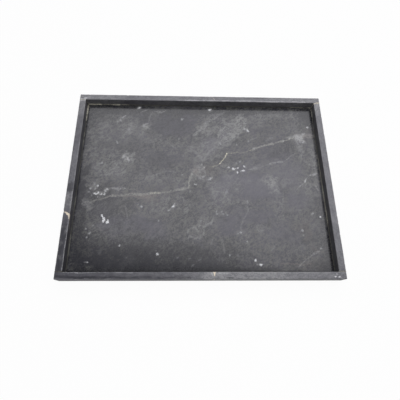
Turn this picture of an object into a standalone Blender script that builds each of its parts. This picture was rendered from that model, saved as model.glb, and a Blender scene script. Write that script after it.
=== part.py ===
"""Marble serving tray: a stone base slab framed by four upright stone strips.

The front and back strips run the full length, and the side strips butt between them. Resin fills
the four butt joints and the seam between the slab and the strips. Four felt pads under the slab
stand the stone off the table. Metres, +Z up, +X along the long side, front at -Y. The origin is
under the tray's centre, on the surface that it stands on.
"""

import math

import bmesh
import bpy

# Overall plan
TRAY_LENGTH = 0.400
TRAY_DEPTH = 0.300

# Wall strips, set on edge
WALL_HEIGHT = 0.020
WALL_THICKNESS = 0.010
WALL_ARRIS = 0.0009

# Base slab, its underside flush with the strips
SLAB_THICKNESS = 0.008
SLAB_ARRIS = 0.0004

# Resin films: each keeps a mesh gap to the stone beside it and stops just short of the outer faces
RESIN_THICKNESS = 0.0006
MESH_GAP = 0.0003
RESIN_RECESS = 0.0002
BEAD_RISE = 0.0004

# Felt pads, stuck under the slab's corners
PAD_DIAMETER = 0.020
PAD_THICKNESS = 0.002
PAD_ROUNDING = 0.0004
PAD_MARGIN = 0.015
PAD_SIDES = 40

# Facets in an eased edge, and the angle above which a round piece keeps a sharp edge
ARRIS_SEGMENTS = 2
SHARP_ANGLE = math.radians(40)
QUARTER_TURN = math.radians(90)

# The joint between two stones, the well between the strips, and what fits in it
SEAM = RESIN_THICKNESS + 2 * MESH_GAP
WELL_LENGTH = TRAY_LENGTH - 2 * WALL_THICKNESS
WELL_DEPTH = TRAY_DEPTH - 2 * WALL_THICKNESS
SLAB_LENGTH = WELL_LENGTH - 2 * SEAM
SLAB_DEPTH = WELL_DEPTH - 2 * SEAM
SIDE_STRIP_LENGTH = WELL_DEPTH - 2 * SEAM
STONE_BOTTOM = PAD_THICKNESS + MESH_GAP
RESIN_BOTTOM = STONE_BOTTOM + RESIN_RECESS


def clear_scene():
    for obj in list(bpy.data.objects):
        bpy.data.objects.remove(obj, do_unlink=True)


def finish_material(name, colour, roughness):
    """A Principled BSDF with one linear colour."""
    material = bpy.data.materials.new(name)
    material.use_nodes = True
    shader = material.node_tree.nodes["Principled BSDF"]
    shader.inputs["Base Color"].default_value = (*colour, 1.0)
    shader.inputs["Roughness"].default_value = roughness
    shader.inputs["Metallic"].default_value = 0.0
    return material


def add_piece(name, mesh, parent, location, turn=0.0):
    """Places one named piece under the tray's empty, turned about Z."""
    piece = bpy.data.objects.new(name, mesh)
    bpy.context.scene.collection.objects.link(piece)
    piece.parent = parent
    piece.location = location
    piece.rotation_euler = (0, 0, turn)
    return piece


def block_mesh(name, size, material, cuts=()):
    """A box standing on z = 0 and centred in plan, with an extra edge loop at each x in cuts."""
    length, depth, height = size
    shape = bmesh.new()
    bmesh.ops.create_cube(shape, size=1.0)
    bmesh.ops.translate(shape, verts=shape.verts[:], vec=(0, 0, 0.5))
    bmesh.ops.scale(shape, verts=shape.verts[:], vec=(length, depth, height))
    for x in cuts:
        every_part = shape.verts[:] + shape.edges[:] + shape.faces[:]
        bmesh.ops.bisect_plane(shape, geom=every_part, plane_co=(x, 0, 0), plane_no=(1, 0, 0))
    mesh = bpy.data.meshes.new(name)
    shape.to_mesh(mesh)
    shape.free()
    mesh.materials.append(material)
    return mesh


def mark_eased(mesh, is_eased):
    """Gives full bevel weight to each edge whose two end points satisfy is_eased."""
    shape = bmesh.new()
    shape.from_mesh(mesh)
    weight = shape.edges.layers.float.new("bevel_weight_edge")
    for edge in shape.edges:
        first, second = (vertex.co for vertex in edge.verts)
        edge[weight] = 1.0 if is_eased(first, second) else 0.0
    shape.to_mesh(mesh)
    shape.free()


def ease_edges(piece, width):
    """Rounds the marked edges with a small bevel."""
    bevel = piece.modifiers.new("eased edges", "BEVEL")
    bevel.width = width
    bevel.segments = ARRIS_SEGMENTS
    bevel.limit_method = "WEIGHT"


def strip_mesh(name, length, material, eased_ends):
    """A wall strip along X, its outer face towards -Y.

    The outer edges are eased, and the inner top edge is eased where it borders the well, which
    leaves the corner joints flush. eased_ends is for the strips whose end faces show.
    """
    well_end = min(WELL_LENGTH, length) / 2
    cuts = (-well_end, well_end) if well_end < length / 2 else ()
    mesh = block_mesh(name, (length, WALL_THICKNESS, WALL_HEIGHT), material, cuts)
    near = WALL_ARRIS / 10
    sides = {
        "outer": lambda co: co.y < near - WALL_THICKNESS / 2,
        "inner": lambda co: co.y > WALL_THICKNESS / 2 - near,
        "top": lambda co: co.z > WALL_HEIGHT - near,
        "bottom": lambda co: co.z < near,
        "end": lambda co: abs(co.x) > length / 2 - near,
        "well": lambda co: abs(co.x) < well_end + near,
    }
    eased = [{"outer", "top"}, {"outer", "bottom"}, {"inner", "top", "well"}]
    if eased_ends:
        eased += [{"end", "outer"}, {"end", "top"}, {"end", "bottom"}]

    def is_eased(first, second):
        shared = {side for side, holds in sides.items() if holds(first) and holds(second)}
        return any(pair <= shared for pair in eased)

    mark_eased(mesh, is_eased)
    return mesh


def add_strips(material, parent):
    """Front and back strips at full length, and side strips between them, a seam short at each end."""
    long_mesh = strip_mesh("long strip", TRAY_LENGTH, material, True)
    side_mesh = strip_mesh("side strip", SIDE_STRIP_LENGTH, material, False)
    out_x = (TRAY_LENGTH - WALL_THICKNESS) / 2
    out_y = (TRAY_DEPTH - WALL_THICKNESS) / 2
    places = (
        ("front_strip", long_mesh, 0, -out_y, 0),
        ("back_strip", long_mesh, 0, out_y, 2 * QUARTER_TURN),
        ("left_strip", side_mesh, -out_x, 0, -QUARTER_TURN),
        ("right_strip", side_mesh, out_x, 0, QUARTER_TURN),
    )
    for name, mesh, x, y, turn in places:
        piece = add_piece(name, mesh, parent, (x, y, STONE_BOTTOM), turn)
        ease_edges(piece, WALL_ARRIS)


def add_base_slab(material, parent):
    """The floor of the tray, a seam smaller than the well all round."""
    mesh = block_mesh("base slab", (SLAB_LENGTH, SLAB_DEPTH, SLAB_THICKNESS), material)
    mark_eased(mesh, lambda first, second: first.z == second.z)
    slab = add_piece("base_slab", mesh, parent, (0, 0, STONE_BOTTOM))
    ease_edges(slab, SLAB_ARRIS)


def add_base_seams(material, parent):
    """Resin round the slab's edge, ending in a low bead that shows at the foot of each wall."""
    height = SLAB_THICKNESS + BEAD_RISE - RESIN_RECESS
    long_length = WELL_LENGTH - 2 * MESH_GAP
    side_length = SLAB_DEPTH - 2 * MESH_GAP
    long_mesh = block_mesh("long seam", (long_length, RESIN_THICKNESS, height), material)
    side_mesh = block_mesh("side seam", (side_length, RESIN_THICKNESS, height), material)
    for mesh in (long_mesh, side_mesh):
        mark_eased(mesh, lambda first, second: min(first.z, second.z) > height / 2)
    out_x = (WELL_LENGTH - SEAM) / 2
    out_y = (WELL_DEPTH - SEAM) / 2
    places = (
        ("base_seam_front", long_mesh, 0, -out_y, 0),
        ("base_seam_back", long_mesh, 0, out_y, 2 * QUARTER_TURN),
        ("base_seam_left", side_mesh, -out_x, 0, -QUARTER_TURN),
        ("base_seam_right", side_mesh, out_x, 0, QUARTER_TURN),
    )
    for name, mesh, x, y, turn in places:
        seam = add_piece(name, mesh, parent, (x, y, RESIN_BOTTOM), turn)
        ease_edges(seam, RESIN_THICKNESS / 3)


def add_corner_joints(material, parent):
    """A resin film between each end of a side strip and the inner face of a long strip."""
    length = WALL_THICKNESS - 2 * RESIN_RECESS
    height = WALL_HEIGHT - 2 * RESIN_RECESS
    mesh = block_mesh("corner joint", (length, RESIN_THICKNESS, height), material)
    out_x = (TRAY_LENGTH - WALL_THICKNESS) / 2
    out_y = (WELL_DEPTH - SEAM) / 2
    for end, y in (("front", -out_y), ("back", out_y)):
        for side, x in (("left", -out_x), ("right", out_x)):
            add_piece(f"corner_joint_{end}_{side}", mesh, parent, (x, y, RESIN_BOTTOM))


def pad_mesh(material):
    """A felt disc standing on z = 0, marked to be rounded at its lower rim."""
    radius = PAD_DIAMETER / 2
    shape = bmesh.new()
    bmesh.ops.create_cone(
        shape,
        cap_ends=True,
        segments=PAD_SIDES,
        radius1=radius,
        radius2=radius,
        depth=PAD_THICKNESS,
    )
    bmesh.ops.translate(shape, verts=shape.verts[:], vec=(0, 0, PAD_THICKNESS / 2))
    mesh = bpy.data.meshes.new("felt pad")
    shape.to_mesh(mesh)
    shape.free()
    mark_eased(mesh, lambda first, second: max(first.z, second.z) < PAD_THICKNESS / 2)
    mesh.shade_smooth()
    mesh.set_sharp_from_angle(angle=SHARP_ANGLE)
    mesh.materials.append(material)
    return mesh


def add_pads(material, parent):
    """One pad near each corner of the slab, held in from the slab's edges by a margin."""
    mesh = pad_mesh(material)
    edge_to_centre = PAD_MARGIN + PAD_DIAMETER / 2
    out_x = SLAB_LENGTH / 2 - edge_to_centre
    out_y = SLAB_DEPTH / 2 - edge_to_centre
    for end, y in (("front", -out_y), ("back", out_y)):
        for side, x in (("left", -out_x), ("right", out_x)):
            pad = add_piece(f"felt_pad_{end}_{side}", mesh, parent, (x, y, 0))
            ease_edges(pad, PAD_ROUNDING)


def main():
    clear_scene()
    tray = bpy.data.objects.new("tray", None)
    bpy.context.scene.collection.objects.link(tray)
    add_base_slab(finish_material("semi-polished black marble", (0.13, 0.13, 0.135), 0.3), tray)
    add_strips(finish_material("honed black marble", (0.18, 0.18, 0.19), 0.45), tray)
    resin = finish_material("cured resin", (0.46, 0.43, 0.33), 0.4)
    add_base_seams(resin, tray)
    add_corner_joints(resin, tray)
    add_pads(finish_material("black felt", (0.02, 0.02, 0.022), 0.95), tray)


main()
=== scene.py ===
import math

import bmesh
import bpy
from mathutils import Matrix, Vector, noise


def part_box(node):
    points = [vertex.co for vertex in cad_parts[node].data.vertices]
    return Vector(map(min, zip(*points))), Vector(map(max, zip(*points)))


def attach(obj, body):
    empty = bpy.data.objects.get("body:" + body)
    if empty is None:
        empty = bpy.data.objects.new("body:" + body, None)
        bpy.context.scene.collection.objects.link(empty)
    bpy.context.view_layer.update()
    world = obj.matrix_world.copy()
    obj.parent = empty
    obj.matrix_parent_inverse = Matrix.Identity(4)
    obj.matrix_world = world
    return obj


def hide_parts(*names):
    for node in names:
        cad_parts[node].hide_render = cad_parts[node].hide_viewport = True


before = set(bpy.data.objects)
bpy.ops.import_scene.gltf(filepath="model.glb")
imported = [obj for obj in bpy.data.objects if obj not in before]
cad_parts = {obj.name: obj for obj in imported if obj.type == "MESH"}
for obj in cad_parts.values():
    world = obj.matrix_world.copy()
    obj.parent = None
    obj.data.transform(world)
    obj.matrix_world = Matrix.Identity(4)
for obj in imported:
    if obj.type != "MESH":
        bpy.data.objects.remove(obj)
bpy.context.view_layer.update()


# Base slab: the floor of the tray, one plate of dark grey marble. It is sawn to 8 mm and its top is
# honed to a low shine, with cream and golden veins, smoky clouds and white calcite flecks in it. Its
# edges are only eased, and it is glued in between the four wall strips.

MM = 0.001
MARBLE_IOR = 1.62
ARC_STEPS = 4
SMOOTH_ANGLE = math.radians(35)
SLAB_ARRIS = 0.5 * MM
SLAB_SPACING = 4 * MM
LONG_SWELL = 23 * MM
SHORT_SWELL = 5 * MM
CHIP_LENGTH = 3 * MM
CHIP_FROM = 0.42
CHIP_DEPTH = 3.5


def drift(place, pattern, size):
    """Smooth random drift from -1 to 1 along a piece, the same on each run."""
    return noise.noise(Vector((place / size, pattern * 7.3, pattern * 1.7)))


def nick_depth(place, nicks):
    """How much wider the eased edge is at this place. A nick is its place, its depth and half its length."""
    depth = 0.0
    for middle, most, reach in nicks:
        near = 1 - abs(place - middle) / reach
        if near > 0:
            depth += most * math.sqrt(near) * (1 + 0.5 * drift(place, middle, 1.1 * MM))
    return depth


def worn_radius(place, radius, pattern, nicks=()):
    """The radius of an edge that was eased by hand: never quite even, with a small chip here and there."""
    even = 1 + 0.35 * drift(place, pattern, LONG_SWELL) + 0.3 * drift(place, pattern + 0.5, SHORT_SWELL)
    chip = max(0.0, drift(place, pattern + 0.8, CHIP_LENGTH) - CHIP_FROM) * CHIP_DEPTH
    return radius * (even + chip) + nick_depth(place, nicks)


def bar_ring(x, sides, radii):
    """A sawn bar's cross-section at x. sides are its outer, inner, bottom and top planes; radii are those
    of the edges at the bottom outside, top outside, top inside and bottom inside."""
    outer, inner, bottom, top = sides
    corners = (
        (outer, bottom, 1, 1, 270),
        (outer, top, 1, -1, 180),
        (inner, top, -1, -1, 90),
        (inner, bottom, -1, 1, 0),
    )
    ring = []
    for (y, z, in_y, in_z, start), radius in zip(corners, radii):
        for step in range(ARC_STEPS + 1):
            angle = math.radians(start - 90 * step / ARC_STEPS)
            ring.append((x, y + radius * (in_y + math.cos(angle)), z + radius * (in_z + math.sin(angle))))
    return ring


def bar_stations(length, spacing, end_radius):
    """Places along a bar with how far its sides are drawn in there, closer together at its eased ends."""
    ends = []
    for step in range(ARC_STEPS + 1):
        angle = math.radians(90 - 90 * step / ARC_STEPS)
        ends.append((end_radius * (1 - math.sin(angle)), end_radius * (1 - math.cos(angle))))
    half = length / 2
    count = round((length - 2 * end_radius) / spacing)
    first = half - end_radius
    middle = [(-first + 2 * first * step / count, 0.0) for step in range(1, count)]
    near = [(away - half, inset) for away, inset in ends]
    far = [(half - away, inset) for away, inset in reversed(ends)]
    return near + middle + far


def skin(shape, loops):
    """Faces all round between each loop of points and the next."""
    for before, after in zip(loops, loops[1:]):
        for i in range(len(before)):
            j = (i + 1) % len(before)
            shape.faces.new((before[i], before[j], after[j], after[i]))


def finished_mesh(shape, last_loop, name):
    """The shape as a mesh, closed at its last loop of points and with all its faces turned outwards."""
    shape.faces.new(last_loop)
    bmesh.ops.recalc_face_normals(shape, faces=shape.faces[:])
    mesh = bpy.data.meshes.new(name)
    shape.to_mesh(mesh)
    shape.free()
    return mesh


def bar_mesh(name, size, spacing, end_radius, end_sides, radii_at):
    """A stone bar along X, its outer face on y = 0 and its underside on z = 0. end_sides says which of
    its outer, inner, bottom and top sides are eased towards the ends."""
    length, thickness, height = size
    shape = bmesh.new()
    loops = []
    for x, inset in bar_stations(length, spacing, end_radius):
        drawn = [inset * eased for eased in end_sides]
        sides = (drawn[0], thickness - drawn[1], drawn[2], height - drawn[3])
        loops.append([shape.verts.new(point) for point in bar_ring(x, sides, radii_at(x))])
    skin(shape, loops)
    shape.faces.new(loops[0])
    return finished_mesh(shape, loops[-1], name)


def add_piece(name, mesh, material, slot, *nodes):
    """Puts a finished mesh in the tray in place of its CAD nodes."""
    mesh.materials.append(material)
    mesh.shade_smooth()
    mesh.set_sharp_from_angle(angle=SMOOTH_ANGLE)
    piece = bpy.data.objects.new(name, mesh)
    bpy.context.scene.collection.objects.link(piece)
    flats = piece.modifiers.new("flat faces stay flat", "WEIGHTED_NORMAL")
    flats.keep_sharp = True
    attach(piece, "root")
    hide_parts(*nodes)


def give(tree, socket, value):
    """Sets a node's input to a value, or links it when the value is another node's output."""
    if isinstance(value, bpy.types.NodeSocket):
        tree.links.new(value, socket)
    else:
        socket.default_value = value


def add_node(tree, kind, inputs=None, **settings):
    """A node with its settings, and its inputs set to a value or linked to another node's output."""
    made = tree.nodes.new(kind)
    for name, value in settings.items():
        setattr(made, name, value)
    for key, value in (inputs or {}).items():
        give(tree, made.inputs[key], value)
    return made


def math_of(tree, operation, *values):
    return add_node(tree, "ShaderNodeMath", dict(enumerate(values)), operation=operation).outputs[0]


def times(tree, first, second):
    return math_of(tree, "MULTIPLY", first, second)


def vector_of(tree, operation, *values):
    """The result of a vector sum. Its length, distance and dot product are plain numbers."""
    made = add_node(tree, "ShaderNodeVectorMath", dict(enumerate(values)), operation=operation)
    return made.outputs["Value" if operation in ("LENGTH", "DISTANCE", "DOT_PRODUCT") else "Vector"]


def scaled(tree, vector, factor):
    made = add_node(tree, "ShaderNodeVectorMath", {0: vector, "Scale": factor}, operation="SCALE")
    return made.outputs["Vector"]


def turned_by(tree, vector, angle):
    """A vector turned about the upright axis."""
    inputs = {"Vector": vector, "Angle": angle}
    return add_node(tree, "ShaderNodeVectorRotate", inputs, rotation_type="Z_AXIS").outputs[0]


def parts_of(tree, vector):
    """A vector's three parts."""
    return add_node(tree, "ShaderNodeSeparateXYZ", {0: vector}).outputs


def ramp(tree, value, low, high, to_low=0.0, to_high=1.0):
    """Maps low..high to to_low..to_high, softly at both ends, and holds the value outside."""
    inputs = {"Value": value, "From Min": low, "From Max": high, "To Min": to_low, "To Max": to_high}
    made = add_node(tree, "ShaderNodeMapRange", inputs, interpolation_type="SMOOTHSTEP", clamp=False)
    return made.outputs["Result"]


def noise_of(tree, position, scale, detail, roughness, distortion=0.0, output="Fac"):
    """Soft noise from 0 to 1. scale is how many of its waves go in a millimetre."""
    inputs = {"Vector": position, "Scale": scale, "Detail": detail}
    inputs.update({"Roughness": roughness, "Distortion": distortion})
    return add_node(tree, "ShaderNodeTexNoise", inputs).outputs[output]


def mixed(tree, share, first, second):
    """One colour over another, by share."""
    first, second = [(*colour, 1.0) if isinstance(colour, tuple) else colour for colour in (first, second)]
    return add_node(tree, "ShaderNodeMix", {0: share, 6: first, 7: second}, data_type="RGBA").outputs[2]


ORIGIN = (0.0, 0.0, 0.0)


def new_group(name, inputs, *outputs):
    """An empty node group with named sockets. Its inputs are {name: default}, and its outputs are numbers."""
    group = bpy.data.node_groups.new(name, "ShaderNodeTree")
    for label, default in inputs.items():
        kind = "NodeSocketFloat" if isinstance(default, float) else "NodeSocketVector"
        group.interface.new_socket(label, in_out="INPUT", socket_type=kind).default_value = default
    for label in outputs:
        group.interface.new_socket(label, in_out="OUTPUT", socket_type="NodeSocketFloat")
    return group, group.nodes.new("NodeGroupInput").outputs, group.nodes.new("NodeGroupOutput").inputs


def use_group(tree, group, **inputs):
    """Places a shared effect in a material. Its inputs are named in lower case, with _ for a space."""
    made = tree.nodes.new("ShaderNodeGroup")
    made.node_tree = group
    for key, value in inputs.items():
        give(tree, made.inputs[key.replace("_", " ").title()], value)
    return made.outputs


def relief(tree, height, strength, distance):
    inputs = {"Height": height, "Strength": strength, "Distance": distance}
    return add_node(tree, "ShaderNodeBump", inputs).outputs["Normal"]


def make_ground_group():
    """The ground of the marble: broad clouds, fine mottling, drawn-out wisps, hair lines and light grains."""
    labels = ("Clouds", "Mottle", "Speckle", "Wisps", "Hairs", "Grains")
    group, given, result = new_group(
        "marble ground",
        {"Position": ORIGIN, "Stretch": (1.0, 1.0, 1.0), "Turn": 0.0},
        *labels,
    )
    turned = turned_by(group, given["Position"], given["Turn"])
    drawn = vector_of(group, "MULTIPLY", turned, given["Stretch"])
    broad = noise_of(group, turned, 0.024, 5.0, 0.6, 0.5)
    fine = noise_of(group, drawn, 0.24, 5.0, 0.72, 0.6)
    finer = noise_of(group, given["Position"], 0.62, 3.0, 0.65, 0.3)
    flowing = noise_of(group, drawn, 0.10, 5.0, 0.62, 1.4)
    winding = noise_of(group, given["Position"], 0.055, 2.0, 0.5, 1.0)
    course = math_of(group, "ABSOLUTE", math_of(group, "SUBTRACT", winding, 0.5))
    hairs = times(group, ramp(group, course, 0.022, 0.0), ramp(group, fine, 0.42, 0.6))
    grain = noise_of(group, given["Position"], 0.85, 2.0, 0.5)
    where = noise_of(group, given["Position"], 0.045, 3.0, 0.6)
    grains = times(group, ramp(group, grain, 0.64, 0.76), ramp(group, where, 0.46, 0.62))
    values = (
        ramp(group, broad, 0.36, 0.66), ramp(group, fine, 0.34, 0.66), ramp(group, finer, 0.32, 0.68),
        ramp(group, flowing, 0.38, 0.64), hairs, grains,
    )
    for label, value in zip(labels, values):
        group.links.new(value, result[label])
    return group


def make_oval_group():
    """An oval in the stone: a calcite crystal with a crisp edge, or a smoky patch with a soft one."""
    group, given, result = new_group(
        "stone oval",
        {
            "Position": ORIGIN, "Middle": ORIGIN, "Turn": 0.0,
            "Reach": (20.0, 10.0, 1000.0), "Softness": 0.5, "Strength": 1.0,
        },
        "Mask",
    )
    away = vector_of(group, "SUBTRACT", given["Position"], given["Middle"])
    turned = turned_by(group, away, given["Turn"])
    gap = vector_of(group, "LENGTH", vector_of(group, "DIVIDE", turned, given["Reach"]))
    outer = math_of(group, "ADD", 1.0, given["Softness"])
    inner = math_of(group, "SUBTRACT", 1.0, given["Softness"])
    group.links.new(times(group, ramp(group, gap, outer, inner), given["Strength"]), result["Mask"])
    return group


SHORT_VEIN_EDGE = 0.35


def make_vein_piece_group():
    """A short straight piece of vein between two points in the stone, which may run through its thickness."""
    group, given, result = new_group(
        "short vein",
        {
            "Position": ORIGIN, "Start": ORIGIN, "End": (1.0, 0.0, 0.0),
            "Start Width": 0.5, "End Width": 0.5, "Strength": 1.0,
        },
        "Mask",
    )
    reach = vector_of(group, "SUBTRACT", given["End"], given["Start"])
    away = vector_of(group, "SUBTRACT", given["Position"], given["Start"])
    along = vector_of(group, "DOT_PRODUCT", away, reach)
    share = math_of(group, "DIVIDE", along, vector_of(group, "DOT_PRODUCT", reach, reach))
    share = math_of(group, "MAXIMUM", math_of(group, "MINIMUM", share, 1.0), 0.0)
    gap = vector_of(group, "DISTANCE", away, scaled(group, reach, share))
    growth = math_of(group, "SUBTRACT", given["End Width"], given["Start Width"])
    width = math_of(group, "MULTIPLY_ADD", share, growth, given["Start Width"])
    mask = ramp(group, math_of(group, "DIVIDE", gap, width), 1 + SHORT_VEIN_EDGE, 1 - SHORT_VEIN_EDGE)
    group.links.new(times(group, mask, given["Strength"]), result["Mask"])
    return group


def make_wear_group():
    """The eased edges of a stone piece, found from how far the surface leans away from its flat faces."""
    group, given, result = new_group(
        "edge wear",
        {"Position": ORIGIN, "Facing": (0.0, 0.0, 1.0)},
        "Rubbed",
    )
    leaning = vector_of(group, "ABSOLUTE", given["Facing"])
    parts = parts_of(group, leaning)
    flattest = math_of(group, "MAXIMUM", math_of(group, "MAXIMUM", parts[0], parts[1]), parts[2])
    edge = ramp(group, flattest, 0.995, 0.9)
    rub = noise_of(group, given["Position"], 0.16, 4.0, 0.65)
    rubbed = times(group, edge, ramp(group, rub, 0.38, 0.62, 0.25, 1.0))
    group.links.new(rubbed, result["Rubbed"])
    return group


def make_honing_group():
    """What the honing pads leave: fine cross scratches, tiny pits and a shine that varies."""
    group, given, result = new_group(
        "honed surface",
        {"Position": ORIGIN, "Shine Drift": 0.05, "Base": 0.3},
        "Roughness",
        "Height",
    )
    sheen = noise_of(group, given["Position"], 0.06, 4.0, 0.6)
    drifted = times(group, ramp(group, sheen, 0.3, 0.7, -1.0, 1.0), given["Shine Drift"])
    roughness = math_of(group, "ADD", drifted, given["Base"])
    drawn = vector_of(group, "MULTIPLY", given["Position"], (0.25, 2.0, 1.0))
    scratch = noise_of(group, drawn, 1.1, 2.0, 0.5, 0.3)
    pit = noise_of(group, given["Position"], 0.9, 3.0, 0.6)
    pits = ramp(group, pit, 0.33, 0.26, 0.0, -1.0)
    height = math_of(group, "ADD", times(group, scratch, 0.6), pits)
    group.links.new(roughness, result["Roughness"])
    group.links.new(height, result["Height"])
    return group


BLADE_BOW = 0.0009
BLADE_DRIFT = 14.0
KERF_WAVE = 2.1
FAINT_WAVE = 5.3


def make_sawn_group():
    """The underside, left as it was sawn: no shine, a dusty grey, and the blade's shallow curved marks."""
    group, given, result = new_group(
        "sawn underside",
        {"Position": ORIGIN, "Facing": (0.0, 0.0, 1.0)},
        "Sawn",
        "Height",
    )
    down = parts_of(group, given["Facing"])[2]
    sawn = ramp(group, down, -0.6, -0.9)
    uneven = noise_of(group, given["Position"], 0.02, 3.0, 0.5)
    parts = parts_of(group, given["Position"])
    bowed = times(group, times(group, parts[1], parts[1]), BLADE_BOW)
    along = math_of(group, "ADD", math_of(group, "ADD", parts[0], bowed), times(group, uneven, BLADE_DRIFT))
    kerf = math_of(group, "SINE", times(group, along, KERF_WAVE))
    faint = math_of(group, "SINE", times(group, along, FAINT_WAVE))
    marks = math_of(group, "MULTIPLY_ADD", faint, 0.4, kerf)
    group.links.new(sawn, result["Sawn"])
    group.links.new(times(group, marks, sawn), result["Height"])
    return group


marble_ground = make_ground_group()
stone_oval = make_oval_group()
short_vein = make_vein_piece_group()
edge_wear = make_wear_group()
honed_surface = make_honing_group()
sawn_underside = make_sawn_group()


def start_material(name):
    """An empty material with its shader and the place in the tray of each point of it, in millimetres."""
    material = bpy.data.materials.new(name)
    material.use_nodes = True
    tree = material.node_tree
    shader = tree.nodes["Principled BSDF"]
    texture = tree.nodes.new("ShaderNodeTexCoord").outputs
    position = scaled(tree, texture["Object"], 1 / MM)
    return material, tree, shader, position, texture["Normal"]


def dress(tree, shader, colour, roughness, bumps):
    """Links a material's colour, roughness and relief to its shader."""
    tree.links.new(colour, shader.inputs["Base Color"])
    tree.links.new(roughness, shader.inputs["Roughness"])
    tree.links.new(bumps, shader.inputs["Normal"])


def warped(tree, position, broad, fine):
    """Position with the drift, in millimetres, that gives veins and flecks their ragged outlines."""
    for scale, amount in ((0.05, broad), (0.45, fine)):
        colour = noise_of(tree, position, scale, 3.0, 0.6, output="Color")
        shift = scaled(tree, vector_of(tree, "SUBTRACT", colour, (0.5, 0.5, 0.5)), amount)
        position = vector_of(tree, "ADD", position, shift)
    return position


def curve_of(tree, share, stops):
    """A line through stops, each a share from 0 to 1 and a value, straight between them."""
    low = min(value for at, value in stops)
    high = max(value for at, value in stops) + 0.01
    curve = add_node(tree, "ShaderNodeFloatCurve", {"Value": share})
    curve.mapping.extend = "HORIZONTAL"
    line = curve.mapping.curves[0]
    line.points[0].location = (0.0, (stops[0][1] - low) / (high - low))
    line.points[1].location = (1.0, (stops[-1][1] - low) / (high - low))
    for at, value in stops[1:-1]:
        line.points.new(at, (value - low) / (high - low))
    for point in line.points:
        point.handle_type = "VECTOR"
    curve.mapping.update()
    return math_of(tree, "MULTIPLY_ADD", curve.outputs[0], high - low, low)


VEIN_TAPER = 1.5
VEIN_EDGE = 0.8
NO_WIDTH = -1.5


def vein_mask(tree, parts, points, along, swell):
    """A vein through its points, each its x, y and half its width in millimetres, which swell multiplies.
    along is 0 for a vein that runs along the tray's X and 1 for a steeper one that runs along its Y."""
    across = 1 - along
    points = sorted(points, key=lambda point: point[along])
    low, high = points[0][along] - VEIN_TAPER, points[-1][along] + VEIN_TAPER
    middles = [(0.0, points[0][across])]
    widths = [(0.0, NO_WIDTH)]
    for before, point, after in zip([points[0]] + points, points, points[1:] + [points[-1]]):
        at = (point[along] - low) / (high - low)
        slope = (after[across] - before[across]) / (after[along] - before[along])
        middles.append((at, point[across]))
        widths.append((at, swell * point[2] * math.hypot(1.0, slope)))
    middles.append((1.0, points[-1][across]))
    widths.append((1.0, NO_WIDTH))
    share = math_of(tree, "MULTIPLY_ADD", parts[along], 1 / (high - low), -low / (high - low))
    gap = math_of(tree, "ABSOLUTE", math_of(tree, "SUBTRACT", parts[across], curve_of(tree, share, middles)))
    beyond = math_of(tree, "SUBTRACT", gap, curve_of(tree, share, widths))
    return ramp(tree, beyond, VEIN_EDGE, -VEIN_EDGE)


def veins_mask(tree, position, name, veins, swell):
    """The strongest of many veins at each point. Each is its direction, its strength and its points."""
    group, given, result = new_group(name, {"Position": ORIGIN}, "Mask")
    parts = parts_of(group, given["Position"])
    mask = 0.0
    for along, strength, *points in veins:
        vein = times(group, vein_mask(group, parts, points, along, swell), strength)
        mask = math_of(group, "MAXIMUM", mask, vein)
    group.links.new(mask, result["Mask"])
    return use_group(tree, group, position=position)["Mask"]


CRISP_EDGE = 0.28
FAINT_EDGE = 0.95
EDGE_GAIN = 0.7


def ovals_mask(tree, position, name, ovals, depth=1000.0, height=0.0):
    """The strongest of many ovals at each point. Each is its middle, its half length and half width, its
    strength and, if it lies askew, its turn in degrees. A fainter one lies deeper in the stone and has a
    softer edge. depth is how far the ovals go down from the surface at this height."""
    group, given, result = new_group(name, {"Position": ORIGIN}, "Mask")
    mask = 0.0
    for x, y, half_length, half_width, strength, *turn in ovals:
        oval = use_group(
            group,
            stone_oval,
            position=given["Position"],
            middle=(x, y, height),
            turn=math.radians(-turn[0]) if turn else 0.0,
            reach=(half_length, half_width, depth),
            softness=max(CRISP_EDGE, FAINT_EDGE - EDGE_GAIN * strength),
            strength=strength,
        )["Mask"]
        mask = math_of(group, "MAXIMUM", mask, oval)
    group.links.new(mask, result["Mask"])
    return use_group(tree, group, position=position)["Mask"]


# The slab's pattern, in millimetres from the tray's centre. A vein is its direction, its strength and its
# points, each x, y and half its width there.
CREAM_VEINS = (
    (0, 0.45, (-166, -36, 0.4), (-162, -33.5, 0.5), (-158, -31.6, 0.5), (-151, -30, 0.5), (-145, -28, 0.6),
     (-139, -26, 0.6), (-132, -25, 0.7), (-124, -24.8, 0.7), (-117, -24.2, 0.5), (-112, -22.6, 0.7),
     (-104, -22, 1.1), (-97, -22.4, 1.2), (-88, -22.2, 1.1), (-80, -21.2, 1), (-72, -20.2, 1),
     (-64, -19.8, 0.8), (-56, -19, 0.7), (-50, -17.8, 0.6), (-46, -15.6, 0.5)),
    (0, 0.35, (-136, -24, 0.4), (-128, -22.8, 0.4), (-121, -22.4, 0.3)),
    (0, 0.4, (-43, -16, 0.8), (-37, -15, 1.2), (-30, -13, 1.4), (-24, -11.4, 1.2), (-19.5, -10.4, 0.8)),
    (1, 0.5, (-19, -10, 0.7), (-20, -4, 0.5), (-19.6, 1, 0.7), (-18, 5, 1.1), (-16.4, 9, 1.1),
     (-14.5, 12, 0.7)),
    (0, 0.55, (83, 57, 1.5), (86.5, 58.8, 1.6), (90, 59.4, 0.7), (95, 61, 0.7), (100, 63, 0.8),
     (105, 65, 0.9), (111, 66.6, 1), (116, 67.8, 1.3), (119, 67, 1)),
    (0, 0.62, (120, 68, 0.3), (126, 70.6, 0.5), (131, 72, 1), (135, 72.4, 1.5), (138, 73.6, 0.4),
     (142, 75, 0.5), (145, 76.4, 0.9), (149, 78.2, 0.7), (153, 79, 0.6), (158, 80, 0.3)),
)
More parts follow.
